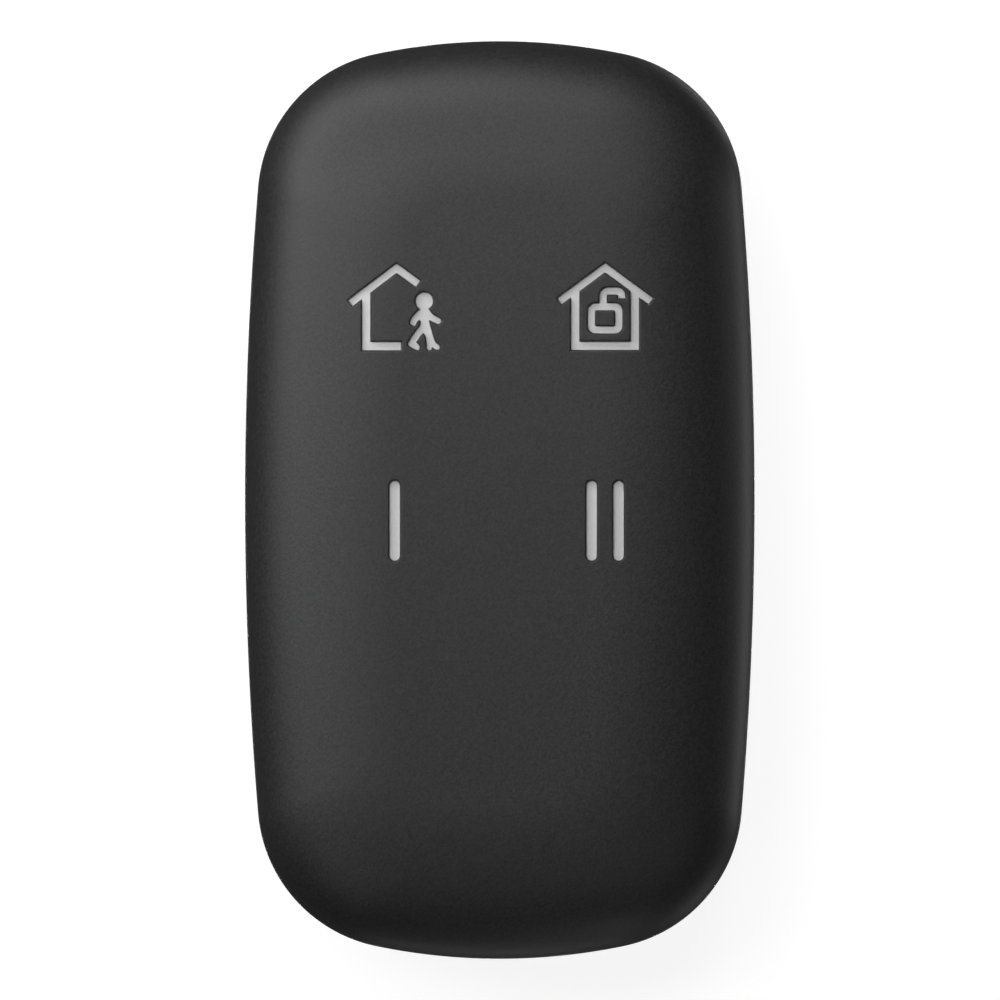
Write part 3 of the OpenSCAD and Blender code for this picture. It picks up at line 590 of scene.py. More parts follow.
# %% Skin material
# Soft-touch rubber scatters light widely, so it has no sharp highlight. Its grain is about a quarter of a millimetre,
# and the finer pits in it mirror a little less than the ridges.
PIT, PIT_LAYERS, MIRROR, MIRROR_SPREAD = 0.12, 1.0, 0.5, 0.055
skin_rubber = finish(
    "TPE rubber, moulded soft-touch, black", "#121213", "#1f1f20", 0.51, 0.24, (1.4, 1, 1), 45,
    relief=0.012, spread=0.03,
)
tree = skin_rubber.node_tree
pits = add(
    tree, "ShaderNodeTexNoise", {"Scale": 1 / (PIT * MM), "Detail": PIT_LAYERS},
    {"Vector": part(skin_rubber, "place")},
)
mirror = add(
    tree, "ShaderNodeMapRange", {**GRAIN_BAND, "To Min": MIRROR - MIRROR_SPREAD, "To Max": MIRROR + MIRROR_SPREAD},
    {"Value": pits.outputs["Fac"]},
)
tree.links.new(mirror.outputs["Result"], part(skin_rubber, "surface").inputs["Specular IOR Level"])

# %% Skin shell
SEAM, EDGE_ROUND = 0.25, 0.15
ROUND_TURNS = np.radians([0, 30, 60, 90])
ROLL_STEPS = 22
NO_EDGE = 9.0
SLIVER = 1e-8
SKIN_SHARP, SIGN_SHARP, SHELL_SHARP, TURNED_SHARP = 50, 30, 32, 40


def roll_insets(wall, reach, last, steps):
    """Insets along a roll that are evenly spaced by angle, from its foot up to an inset."""
    end = math.acos((1 - (last - wall) / (reach - wall)) ** (FULLNESS / 2))
    angles = np.linspace(0, end, steps, endpoint=False)[1:]
    return wall + (reach - wall) * (1 - np.cos(angles) ** (2 / FULLNESS))


def mend(piece, change):
    """Runs a change on the mesh of a piece, opened for editing."""
    work = bmesh.new()
    work.from_mesh(piece.data)
    change(work)
    work.to_mesh(piece.data)
    work.free()
    return piece


def even_shading(piece, sharp):
    """Keeps edges sharp from an angle on, and lets large faces lead the smooth shading beside small ones."""
    mend(piece, lambda work: bmesh.ops.dissolve_degenerate(work, edges=work.edges, dist=SLIVER))
    piece.data.set_sharp_from_angle(angle=math.radians(sharp))
    modifier = piece.modifiers.new("even", "WEIGHTED_NORMAL")
    modifier.mode, modifier.keep_sharp = "FACE_AREA", True
    return settle(piece, modifier)


def smooth(piece):
    """Smooth shading of a turned piece, with its corners left sharp."""
    piece.data.shade_smooth()
    piece.data.set_sharp_from_angle(angle=math.radians(TURNED_SHARP))
    return piece


def belt(first, second):
    """Quads between two rings of points that run the same way."""
    count = len(first)
    return [(first[i], first[(i + 1) % count], second[(i + 1) % count], second[i]) for i in range(count)]


skin_faces = plan_faces[~in_room]
used, sheet = compact(skin_faces)
sheet_points = plan[used]
edge = sign_distance(sheet_points) - SIGN_GAP
count = len(used)
seat = {old: new for new, old in enumerate(used)}
rim_ring = [seat[plan_index[i]] for i in range(AROUND)]
sheet_inset = inset_of(sheet_points)
rim_edges = {frozenset(pair) for pair in zip(rim_ring, np.roll(rim_ring, -1))}
walls = [(a, a + count, b + count, b) for a, b in rims(sheet) if frozenset((a, b)) not in rim_edges]
faces = sheet.tolist() + (sheet[:, ::-1] + count).tolist() + walls
points = [np.concatenate([sheet_points, sheet_points])]
inset, wall = [sheet_inset, sheet_inset], [np.zeros(count), np.full(count, SKIN_WALL)]
lip_edge, extra = [edge, np.full(count, NO_EDGE)], [np.zeros(2 * count)]
rings = [(d, 0.0, 0.0) for d in roll_insets(0.0, FRONT["Reach"], INNER, ROLL_STEPS)[::-1]]
for t in ROUND_TURNS:
    d = EDGE_ROUND * (1 - math.cos(t))
    rings.append((d, d, EDGE_ROUND * (1 - math.sin(t))))
rings.append((SKIN_WALL, SKIN_WALL, 0.0))
rings += [(d, SKIN_WALL, 0.0) for d in roll_insets(SKIN_WALL, FRONT["Reach"], INNER, ROLL_STEPS // 2)]
previous = rim_ring
for number, (d, under, raised) in enumerate(rings):
    ring = list(range(2 * count + number * AROUND, 2 * count + (number + 1) * AROUND))
    faces += belt(ring, previous)
    previous = ring
    points.append(outline(d))
    inset.append(np.full(AROUND, d))
    wall.append(np.full(AROUND, under))
    lip_edge.append(np.full(AROUND, NO_EDGE))
    extra.append(np.full(AROUND, raised))
faces += belt([r + count for r in rim_ring], previous)
front_skin = lift(
    "soft_front_skin", np.concatenate(points), faces, *map(np.concatenate, (inset, wall, lip_edge, extra)),
    **FRONT, Foot=SEAM, Lip=LIP, Finish=skin_rubber,
)
even_shading(front_skin, SKIN_SHARP)
wear(front_skin, skin_rubber, "case", "soft_skin", "front_skin")

# %% [markdown]
# ## The islands in the disarm sign
# The closed lines of the house and the padlock cut two islands out of the skin. They are the same rubber, bonded to
# the key, so they sink with it. They come from the same plan, so their surface carries on the skin's.


# %% Islands
ISLAND_SINK = 0.04


def lifted_slab(name, spots, triangles, distance, top_wall, bottom_wall, lip, material, sharp=SKIN_SHARP):
    """A closed slab whose top and bottom follow the front's rule at two depths, with a rounded top edge."""
    n = len(spots)
    piece = lift(
        name, np.tile(spots, (2, 1)), slab(triangles, n), inset=np.tile(inset_of(spots), 2),
        wall=np.repeat([top_wall, bottom_wall], n), edge=np.concatenate([distance, np.full(n, NO_EDGE)]),
        extra=np.zeros(2 * n), **FRONT, Foot=SEAM, Lip=lip, Finish=material,
    )
    return even_shading(piece, sharp)


used, sheet = compact(plan_faces[in_room])
islands = lifted_slab(
    "sign_islands", plan[used], sheet, sign_distance(plan[used]) - SIGN_GAP, 0.0, SKIN_WALL + ISLAND_SINK, LIP,
    skin_rubber,
)
wear(islands, skin_rubber, "key_disarm", "soft_skin", "sign_inlay")

# %% [markdown]
# ## The light grey keys
# Each key is one moulding: a round cap under the skin, a lip that keeps it in the frame, a plunger on the switch,
# and the sign that stands up into its window. The sign's top follows the skin's surface a little below it and has a
# soft edge, as moulded plastic has. The cap is turned about its axis, and its top follows the same rule.

# %% Key material
# Matt polycarbonate: a pale neutral grey with a very fine moulded grain.
key_grey = finish(
    "Polycarbonate, moulded matt, light grey", "#bdbdbd", "#c3c3c3", 0.48, 0.16, relief=0.002, spread=0.04,
)

# %% Keys
KEY_LIP, KEY_RING, KEY_FILL, KEY_ROOT = 0.03, 0.14, 0.17, 0.5
CAP_RADIUS, LIP_RADIUS, PLUNGER_RADIUS = 4.7, 5.3, 1.5
STEM_TOP, LIP_BOTTOM, LIP_TOP = 9.1, 9.45, 10.25
CAP_GAP, BEVEL = 0.05, 0.1
CAP_RINGS = (CAP_RADIUS, CAP_RADIUS - BEVEL, 3.9, 3.1, 2.3, 1.5, 0.7, 0.0)
GRID_SKIP = 10
FINE = 72


def lathe(profile, steps, centre=(0.0, 0.0)):
    """A closed body of revolution about Z from a profile that starts and ends on the axis."""
    spots, quads, rings_of = [], [], []
    for radius, z in profile:
        around = 1 if radius == 0 else steps
        rings_of.append(range(len(spots), len(spots) + around))
        t = np.arange(around) * 2 * math.pi / steps
        x, y = centre[0] + radius * np.cos(t), centre[1] + radius * np.sin(t)
        spots += np.column_stack([x, y, np.full(around, z)]).tolist()
    for low, high in zip(rings_of, rings_of[1:]):
        for i in range(steps):
            a, b = low[i % len(low)], low[(i + 1) % len(low)]
            c, d = high[(i + 1) % len(high)], high[i % len(high)]
            quads.append([v for k, v in enumerate((a, b, c, d)) if v not in (a, b, c, d)[:k]])
    return spots, [q for q in quads if len(q) > 2]


def join(*pieces):
    """Several mesh pieces as one."""
    first = pieces[0]
    with bpy.context.temp_override(active_object=first, selected_editable_objects=list(pieces)):
        bpy.ops.object.join()
    return first


for name, spot in KEY_SPOTS.items():
    rings_in = [loop for level in (0.0, -KEY_LIP, -KEY_RING) for loop in loops_at(fields[name], level)]
    inner = grid[::GRID_SKIP, ::GRID_SKIP].reshape(-1, 2)
    inner = inner[sign_field(name, inner) < -KEY_FILL]
    spots, triangles, _ = triangulate(rings_in, inner)
    triangles = facing_up(spots, triangles)
    used, sheet = compact(triangles[sign_field(name, spots[triangles].mean(1)) < 0])
    on_key = spots[used]
    sign = lifted_slab(
        "grey_key_" + name, on_key + spot, sheet, -sign_field(name, on_key), SIGN_RECESS, SKIN_WALL + KEY_ROOT, KEY_LIP,
        key_grey, SIGN_SHARP,
    )
    profile = [
        (0.0, STEM_TOP), (PLUNGER_RADIUS - BEVEL, STEM_TOP), (PLUNGER_RADIUS, STEM_TOP + BEVEL),
        (PLUNGER_RADIUS, LIP_BOTTOM), (LIP_RADIUS - BEVEL, LIP_BOTTOM), (LIP_RADIUS, LIP_BOTTOM + BEVEL),
        (LIP_RADIUS, LIP_TOP - BEVEL), (LIP_RADIUS - BEVEL, LIP_TOP), (CAP_RADIUS, LIP_TOP),
    ]
    body_points, body_faces = lathe(profile + [(radius, 0.0) for radius in CAP_RINGS], FINE, spot)
    body_points = np.array(body_points)
    top = body_points[:, 2] == 0
    under = SKIN_WALL + CAP_GAP
    ahead = np.maximum(0, 1 - (inset_of(body_points[top, :2]) - under) / (FRONT["Reach"] - under))
    roof = FRONT["Base"] + (FRONT["Rise"] - under) * (1 - ahead**FULLNESS) ** (1 / FULLNESS)
    out = np.linalg.norm(body_points[top, :2] - spot, axis=1)
    body_points[top, 2] = roof - np.where(out > CAP_RADIUS - BEVEL / 2, BEVEL, 0.0)
    key = join(sign, smooth(make("cap_" + name, body_points, body_faces)))
    wear(key, key_grey, "key_" + name, "key_plastic", "key_" + name)

# %% [markdown]
# ## The hard rear cover
# The rear half is ABS with a spark-eroded texture. It has the same roll as the front, drawn tighter, and holds the
# battery ring, four screw bosses and a pocket for a key ring. The outside is a fine loft of rings through the lift
# tree. What a toolmaker would cut, Blender cuts with booleans: first the inside, left standing where bosses and the
# ring are, then the openings, whose cutters flare at the mouth so that no edge is knife sharp.


# %% Solids for cutting
BELOW, ABOVE = -1.0, 12.0
SECTOR_STEPS, SECTOR_STEP = 8, 3
FLARE_TURNS, FLARE_SPARE = np.radians([15, 40, 65, 90]), 0.05


def drum(name, profile, steps, centre=(0.0, 0.0)):
    """A turned solid."""
    return make(name, *lathe(profile, steps, centre))


def rod(radius, low, high):
    """Profile of a plain cylinder."""
    return [(0.0, low), (radius, low), (radius, high), (0.0, high)]


def sector(name, inner, outer, low, high, start, stop, centre):
    """A piece of a ring between two angles in degrees."""
    t = np.radians(np.linspace(start, stop, max(SECTOR_STEPS, int((stop - start) / SECTOR_STEP))))
    ray = np.stack([np.cos(t), np.sin(t)], 1)
    flat = np.concatenate([ray * inner, ray[::-1] * outer]) + centre
    return prism(name, [(flat, low), (flat, high)])


def prism(name, layers):
    """A solid through layers of the same outline, each (points, height), listed upwards."""
    n = len(layers[0][0])
    spots = np.concatenate([np.column_stack([flat, np.full(n, z)]) for flat, z in layers])
    solid = [list(range(n))[::-1], list(range(n * (len(layers) - 1), n * len(layers)))]
    for k in range(len(layers) - 1):
        solid += belt(list(range(k * n, (k + 1) * n)), list(range((k + 1) * n, (k + 2) * n)))
    return face_out(make(name, spots, solid))


def face_out(piece):
    """Turns a closed solid's faces outwards."""
    return mend(piece, lambda work: bmesh.ops.recalc_face_normals(work, faces=work.faces))


def round_box(middle, size, corner, steps=6):
    """Outline of a rectangle with round corners."""
    x, y = size[0] / 2 - corner, size[1] / 2 - corner
    corners = [(x, y, 0), (-x, y, 90), (-x, -y, 180), (x, -y, 270)]
    return np.concatenate([arc(np.add(middle, (a, b)), corner, t, t + 90, steps) for a, b, t in corners])


def carve(piece, operation, *tools):
    """One boolean of a piece with several tools, which are used up."""
    held = bpy.data.collections.new("tools")
    scene.collection.children.link(held)
    for tool in tools:
        scene.collection.objects.unlink(tool)
        held.objects.link(tool)
    modifier = piece.modifiers.new("carve", "BOOLEAN")
    modifier.operation, modifier.operand_type, modifier.collection = operation, "COLLECTION", held
    modifier.solver = "MANIFOLD"
    settle(piece, modifier)
    for tool in tools:
        bpy.data.objects.remove(tool)
    bpy.data.collections.remove(held)
    return piece


def flared(radius, mouth, flare, top):
    """Profile of a round cutter from below: wider at its mouth, straight above it."""
    bell = [(radius + flare * (1 - math.sin(t)), mouth + flare * (1 - math.cos(t))) for t in FLARE_TURNS]
    return [(0.0, BELOW), (bell[0][0] + FLARE_SPARE, BELOW), *bell, (radius, top), (0.0, top)]


# %% Rear material
# Moulded ABS: the spark-eroded mould leaves a dull, even sand. It is drawn coarser than the real tenth of a
# millimetre, so that it shows in a picture.
rear_abs = finish("ABS, spark-eroded mould texture, black", "#242426", "#323234", 0.56, 0.32, relief=0.03, spread=0.05)

# %% Rear form
PARTING, REAR_REACH, RIM_WIDTH, REAR_FLOOR = 6.4, 6.0, 2.3, 1.6
REAR_STEPS, ROOM_STEPS = 34, 10
# The rear has no foot and no cut edge, so these two sizes only keep out of its way
NO_FOOT, ANY_LIP = -9.0, 1.0
ROOM_PAST = 1.0
REAR = {
    "Base": PARTING, "Reach": REAR_REACH, "Fullness": FULLNESS, "Direction": -1.0, "Foot": NO_FOOT, "Lip": ANY_LIP,
}


def rolled(name, ring_list, material, **values):
    """A closed solid from rings of the outline, each (inset, wall, extra), lifted by the tree."""
    hoops = [list(range(k * AROUND, (k + 1) * AROUND)) for k in range(len(ring_list))]
    solid = [hoops[0], hoops[-1][::-1]]
    for low, high in zip(hoops, hoops[1:]):
        solid += belt(high, low)
    inset, wall, extra = np.repeat(np.array(ring_list), AROUND, axis=0).T
    flat = np.concatenate([outline(d) for d, _, _ in ring_list])
    edge = np.full(len(flat), NO_EDGE)
    return face_out(lift(name, flat, solid, inset, wall, edge, extra, **REAR, **values, Finish=material))


rounding = [
    (EDGE_ROUND * (1 - math.sin(t)), EDGE_ROUND * (1 - math.sin(t)), EDGE_ROUND * (1 - math.cos(t)))
    for t in ROUND_TURNS
]
outer_insets = [*roll_insets(0.0, REAR_REACH, REAR_REACH, REAR_STEPS), REAR_REACH]
rear_cover = rolled("rear_cover_shell", rounding + [(d, 0.0, 0.0) for d in outer_insets], rear_abs, Rise=PARTING)
room_insets = [RIM_WIDTH, *roll_insets(RIM_WIDTH, REAR_REACH, REAR_REACH, ROOM_STEPS), REAR_REACH]
room_rings = [(RIM_WIDTH, RIM_WIDTH, -ROOM_PAST)] + [(d, RIM_WIDTH, 0.0) for d in room_insets]
room = rolled("room", room_rings, rear_abs, Rise=PARTING - REAR_FLOOR + RIM_WIDTH)
print("rear form:", len(rear_cover.data.polygons), "faces")

# %% Rear cuts
CELL = np.array([0.0, -11.0])
WELL, WELL_WALL, RING, RING_TOP, UNDER_BOARD = 10.25, 1.2, 13.15, 2.35, 6.05
OPENING, GROOVE, LUG_OUT, LEDGE, GROOVE_TOP, LUG_LOW = 11.0, 11.95, 11.875, 0.75, 1.4, 0.8
DOOR_TURN, LUG_REACH = 40.0, 26.0
SCREWS = [(x, y) for x in (-11.2, 11.2) for y in (-22.6, 22.6)]
BOSS, HOLE, SINK, SINK_TOP, SPIGOT, SPIGOT_LOW = 2.1, 1.05, 1.75, 1.5, 1.495, 5.85
POCKET_Y, POCKET_TOP, POCKET_WIDTH, POCKET_LENGTH, POCKET_ROUND = 22.9, 5.0, 10, 32.5, 1.4
BLOCK_HALF, BLOCK_WALL, BLOCK_END = 7.4, 1.2, 40.0
PIN_Y, PIN_Z, BORE_RADIUS, BORE_HALF = 29.0, 1.95, 0.82, 6.65
WAY_HALF, WAY_LOW, WAY_HIGH, WAY_FLOOR = 2.15, -2.2, 0.7, RING_TOP + 0.15
SEAL_OUT, SEAL_IN, SEAL_LOW, SEAL_TOP = 1.3, 2.0, 5.75, 7.4
CORE_LOW, CORE_TOP = 5.0, 8.0
CUT_BACK, ENTRY_EASE, FLARE, WELL_STEP = 0.3, 0.5, 0.25, 0.1
LUG_TURNS = (0, 120, 240)
RING_SIDES, BOSS_SIDES, OPENING_SIDES, SINK_SIDES, SMALL_SIDES = 120, 40, 160, 56, 32


def plate(x0, x1, y0, y1):
    """Corners of a rectangle."""
    return np.array([(x0, y0), (x1, y0), (x1, y1), (x0, y1)])


well_floor = REAR_FLOOR + WELL_STEP
ring_wall = [
    (0.0, 0.0), (RING, 0.0), (RING, RING_TOP), (WELL + WELL_WALL, RING_TOP), (WELL + WELL_WALL, UNDER_BOARD),
    (WELL, UNDER_BOARD), (WELL, well_floor), (0.0, well_floor),
]
standing = [drum("battery_ring", ring_wall, RING_SIDES, CELL)]
standing += [drum("boss", rod(BOSS, 0.0, PARTING), BOSS_SIDES, spot) for spot in SCREWS]
block = plate(-BLOCK_HALF, BLOCK_HALF, POCKET_Y - BLOCK_WALL, BLOCK_END)
standing.append(prism("pocket_block", [(block, 0.0), (block, UNDER_BOARD)]))
carve(room, "DIFFERENCE", *standing)

cuts = [room, drum("opening", flared(OPENING, 0.0, FLARE, RING_TOP), OPENING_SIDES, CELL)]
for turn in LUG_TURNS:
    start = turn - LUG_REACH / 2 - DOOR_TURN
    stop = start + LUG_REACH
    inner = OPENING - CUT_BACK
    cuts.append(sector("groove", inner, GROOVE, LEDGE, GROOVE_TOP, start, stop + DOOR_TURN, CELL))
    cuts.append(sector("entry", inner, LUG_OUT, BELOW, LUG_LOW, start + ENTRY_EASE, stop - ENTRY_EASE, CELL))
way = plate(-WAY_HALF, WAY_HALF, WAY_LOW, WAY_HIGH)
cuts.append(prism("contact_way", [(way, WAY_FLOOR), (way, ABOVE)]))
for spot in SCREWS:
    cuts.append(drum("hole", rod(HOLE, BELOW, ABOVE), BOSS_SIDES, spot))
    cuts.append(drum("sink", rod(SINK, BELOW, SINK_TOP), SINK_SIDES, spot))
    cuts.append(drum("spigot", rod(SPIGOT, SPIGOT_LOW, ABOVE), BOSS_SIDES, spot))
bore_points, bore_faces = lathe(rod(BORE_RADIUS, -BORE_HALF, BORE_HALF), SMALL_SIDES)
cuts.append(face_out(make("bore", [(z, PIN_Y + y, PIN_Z - x) for x, y, z in bore_points], bore_faces)))


def pocket_plan(wider):
    """Outline of the key ring's pocket, drawn wider all round."""
    size = (POCKET_WIDTH + 2 * wider, POCKET_LENGTH + 2 * wider)
    return round_box((0, POCKET_Y + POCKET_LENGTH / 2), size, POCKET_ROUND + wider)


mouth = [(0.3, BELOW), (0.3, -0.02), (0.13, 0.06), (0.04, 0.16), (0.0, 0.3)]
ceiling = [(0.0, POCKET_TOP - 0.5), (-0.07, POCKET_TOP - 0.25), (-0.25, POCKET_TOP - 0.07), (-0.5, POCKET_TOP)]
cuts.append(prism("pocket", [(pocket_plan(w), z) for w, z in mouth + ceiling]))
seal_way = prism("seal_way", [(outline(SEAL_OUT), SEAL_LOW), (outline(SEAL_OUT), SEAL_TOP)])
carve(seal_way, "DIFFERENCE", prism("seal_core", [(outline(SEAL_IN), CORE_LOW), (outline(SEAL_IN), CORE_TOP)]))
cuts.append(seal_way)
MARK_OUT, MARK_DEEP = 12.75, 0.25
MARK = [(0.0, BELOW), (0.75, BELOW), (0.75, -0.01), (0.55, MARK_DEEP), (0.0, MARK_DEEP)]
MARK_CORE = [(0.0, -2.0), (0.24, -2.0), (0.24, -0.01), (0.4, MARK_DEEP), (0.4, 1.0), (0.0, 1.0)]
for angle, is_ring in ((90.0, False), (90.0 - DOOR_TURN, True)):
    spot = CELL + MARK_OUT * np.array([math.cos(math.radians(angle)), math.sin(math.radians(angle))])
    mark = drum("mark", MARK, SMALL_SIDES, spot)
    cuts.append(carve(mark, "DIFFERENCE", drum("core", MARK_CORE, SMALL_SIDES, spot)) if is_ring else mark)
carve(rear_cover, "DIFFERENCE", *cuts)
rear_cover.data.shade_smooth()
even_shading(rear_cover, SHELL_SHARP)
wear(rear_cover, rear_abs, "case", "rear_plastic", "rear_cover")

# %% [markdown]
# ## The battery door
# A round ABS door closes the battery well. A coin turns it: three lugs slide out of their grooves and line up with
# the entries. It is a turned disc with a step for its seal, and the coin slot and an arrow are sunk into its face.

# %% Door
DOOR_LOW, DOOR_TOP, DOOR_RADIUS, SEAL_RADIUS = 0.15, 2.2, 10.85, 10.25
DOOR_ROUND, DOOR_BEVEL, DOOR_SIDES = 0.25, 0.15, 144
RIM_TURNS = np.radians([0, 22, 45, 68, 90])
LUG_IN, LUG_RADIUS, LUG_TOP, LUG_ANGLE = 9.9, 11.8, 1.35, 24.0
SLOT_LENGTH, SLOT_WIDTH, SLOT_DEEP = 13.0, 2.0, 0.9
SLOT_FLAT, SLOT_STEPS = 0.001, 10
ARROW, ARROW_OUT = np.array([(-0.9, -0.5), (0.9, -0.5), (0.0, 1.1)]), 8.8
# The same sand as on the rear, a shade lighter, because the door comes out of its own mould.
door_abs = finish(
    "ABS, spark-eroded mould texture, dark grey", "#29292b", "#373739", 0.54, 0.32, relief=0.03, spread=0.05
)
rim = [
    (DOOR_RADIUS - DOOR_ROUND + DOOR_ROUND * math.sin(t), DOOR_LOW + DOOR_ROUND * (1 - math.cos(t)))
    for t in RIM_TURNS
]
door_profile = [
    (0.0, DOOR_LOW), *rim, (DOOR_RADIUS, GROOVE_TOP), (SEAL_RADIUS, GROOVE_TOP), (SEAL_RADIUS, DOOR_TOP - DOOR_BEVEL),
    (SEAL_RADIUS - DOOR_BEVEL, DOOR_TOP), (0.0, DOOR_TOP),
]
door = drum("battery_door_disc", door_profile, DOOR_SIDES, CELL)
lugs = [
    sector("lug", LUG_IN, LUG_RADIUS, LUG_LOW, LUG_TOP, turn - LUG_ANGLE / 2, turn + LUG_ANGLE / 2, CELL)
    for turn in LUG_TURNS
]
carve(door, "UNION", *lugs)


def slot_plan(wider):
    """Outline of the coin slot, drawn wider all round."""
    size = (SLOT_LENGTH + 2 * wider, SLOT_WIDTH + 2 * wider)
    return round_box(CELL, size, SLOT_WIDTH / 2 + wider - SLOT_FLAT, SLOT_STEPS)


slot_end = DOOR_LOW + SLOT_DEEP
slot_layers = [
    (0.2, BELOW), (0.2, DOOR_LOW - 0.01), (0.08, DOOR_LOW + 0.05), (0.0, DOOR_LOW + 0.18), (0.0, slot_end - 0.2),
    (-0.06, slot_end - 0.06), (-0.2, slot_end),
]
coin_slot = prism("coin_slot", [(slot_plan(w), z) for w, z in slot_layers])
tip = CELL + (0.0, ARROW_OUT)
arrow_layers = [(1.0, BELOW), (1.0, DOOR_LOW - 0.01), (0.6, DOOR_LOW + MARK_DEEP)]
arrow_mark = prism("arrow", [(ARROW * size + tip, z) for size, z in arrow_layers])
carve(door, "DIFFERENCE", coin_slot, arrow_mark)
door.data.shade_smooth()
even_shading(door, SHELL_SHARP)
wear(door, door_abs, "battery_door", "door_plastic", "battery_door")

# %% [markdown]
# ## Four screws
# Small zinc-plated screws hold the halves together from the rear. One is modelled with a pan head, a cross recess and
# a thread, and a Geometry Nodes tree sets it into the four sinks, each turned at random, as a screwdriver leaves them.

# %% One screw
# Bright zinc: a cool silver with a satin gloss and hardly any cloud.
screw_zinc = finish("Steel, zinc plated", "#acb0b5", "#b9bdc1", 0.36, 0.2, spread=0.03, Metallic=1.0)
HEAD_LOW, HEAD_SEAT, HEAD_RADIUS, HEAD_CROWN = 0.4, 1.5, 1.55, 0.5
SHANK, THREAD_DEEP, THREAD_STEP, THREAD_STEPS, THREAD_TOP, TIP = 0.85, 0.18, 0.2, 31, 8.3, 0.4
ARM, ARM_WIDTH, CROSS_DEEP, CROSS_NARROW = 0.95, 0.24, 0.66, (0.45, 0.6)
CROWN_TURNS, SCREW_SIDES, SCREW_SEED = np.radians([25, 45, 60, 75, 90]), 40, 7
head = [(HEAD_RADIUS * math.sin(t), HEAD_LOW + HEAD_CROWN * (1 - math.cos(t))) for t in CROWN_TURNS]
thread = [
    (SHANK if k % 2 else SHANK - THREAD_DEEP, HEAD_SEAT + THREAD_STEP + THREAD_STEP * k) for k in range(THREAD_STEPS)
]
screw = drum("screw", [
    (0.0, HEAD_LOW), *head, (HEAD_RADIUS, HEAD_SEAT), (SHANK - THREAD_DEEP, HEAD_SEAT), *thread, (TIP, THREAD_TOP),
    (0.0, THREAD_TOP),
], SCREW_SIDES)
for turn in (0.0, 90.0):
    c, s = math.cos(math.radians(turn)), math.sin(math.radians(turn))
    wide, narrow = [
        plate(-a, a, -w, w) @ np.array([(c, s), (-s, c)])
        for a, w in ((ARM, ARM_WIDTH), (ARM * CROSS_NARROW[0], ARM_WIDTH * CROSS_NARROW[1]))
    ]
    cross = prism("cross", [(wide, BELOW), (wide, HEAD_LOW), (narrow, HEAD_LOW + CROSS_DEEP)])
    carve(screw, "DIFFERENCE", cross)
smooth(screw)
print("screw:", len(screw.data.polygons), "faces")

# %% Screw tree
screw_tree, entry = new_tree("case_screws", Geometry="Geometry", Screw="Object", Seed="Int", Finish="Material")
model = add(screw_tree, "GeometryNodeObjectInfo", {}, {"Object": entry["Screw"]})
angle = add(
    screw_tree, "FunctionNodeRandomValue", {"Min": (0, 0, 0), "Max": (0, 0, math.pi / 2)}, {"Seed": entry["Seed"]},
    data_type="FLOAT_VECTOR",
)
placed = add(
    screw_tree, "GeometryNodeInstanceOnPoints", {},
    {"Points": entry["Geometry"], "Instance": model.outputs["Geometry"], "Rotation": angle},
)
real = add(screw_tree, "GeometryNodeRealizeInstances", {}, {"Geometry": placed})
dressed = add(screw_tree, "GeometryNodeSetMaterial", {}, {"Geometry": real, "Material": entry["Finish"]})
add(screw_tree, "NodeGroupOutput", {}, {"Geometry": dressed})
screws = make("zinc_screws", [(x, y, 0.0) for x, y in SCREWS], [])
grow(screws, screw_tree, Screw=screw, Seed=SCREW_SEED, Finish=screw_zinc)
bpy.data.objects.remove(screw)
wear(screws, screw_zinc, "case", "screw_steel", "case_screws")

# %% [markdown]
# ## What keeps the shape of its solid
# The frame under the skin, the seals, the pin, the switches, the board and the cell already have their shape. They
# only get a finish: the material goes into every slot of the node, and its mesh stays as it is. First the mouldings
# and the pin. Rubber is dull and even, and a ground pin has bright lines round it.


# %% Frame, seals and pin
def coat(material, *names):
    """Puts a finish on CAD nodes that keep their shape."""
    for name in names:
        for slot in nodes[name].material_slots:
            slot.material = material
    print(material.name, "on", ", ".join(names))


# Moulded ABS under the skin: dull, with the faint clouds of a matt mould.
coat(finish("ABS, moulded matt, dark grey", "#343436", "#3d3d3f", 0.5, 0.3, relief=0.01), "front_frame")
# Pressed rubber: an even, dusty grey that never shines.
coat(finish("EPDM rubber, moulded, grey", "#54565a", "#606266", 0.62, 0.2, relief=0.006), "case_gasket")
# Silicone has a warmer, softer gloss than rubber.
coat(finish("Silicone rubber, moulded, brick red", "#73302b", "#83382f", 0.5, 0.2, relief=0.004), "door_seal")
# Grinding wheels leave fine bright lines round the pin, drawn a little coarser than they are so that they show.
coat(finish(
    "Stainless steel, centreless ground", "#b2b5b9", "#c6c9cc", 0.32, 0.12, (1, 30, 30), relief=0.0004, spread=0.05,
    Metallic=1.0,
), "keyring_pin")

# %% [markdown]
# ## The switches
# Under each key sits a small tact switch: a dark heat-proof base, a stamped tin plate over it, an ivory stem and a
# snap dome, rolled from spring steel, that clicks. Rolling and stamping leave lines along the strip, so the grain of
# the metals is stretched that way. One finish serves all four switches.

# %% Switch finishes
switch_finishes = {
    "switch_base": finish("LCP, moulded, black", "#232427", "#2c2d30", 0.5, 0.12, relief=0.004),
    "switch_cover": finish(
        "Steel, stamped and tin plated", "#bcbfc3", "#d3d6d9", 0.32, 0.2, (6, 1, 1), spread=0.08, Metallic=1.0
    ),
    "switch_stem": finish("POM, moulded, ivory", "#e2ddd0", "#ebe7dc", 0.38, 0.15, relief=0.002),
}
for kind, material in switch_finishes.items():
    coat(material, *[f"{kind}_{key}" for key in KEY_SPOTS])
coat(finish("Solder tin, reflowed", "#c4c7ca", "#d8dadc", 0.3, 0.25, relief=0.004, Metallic=1.0), "switch_terminals")

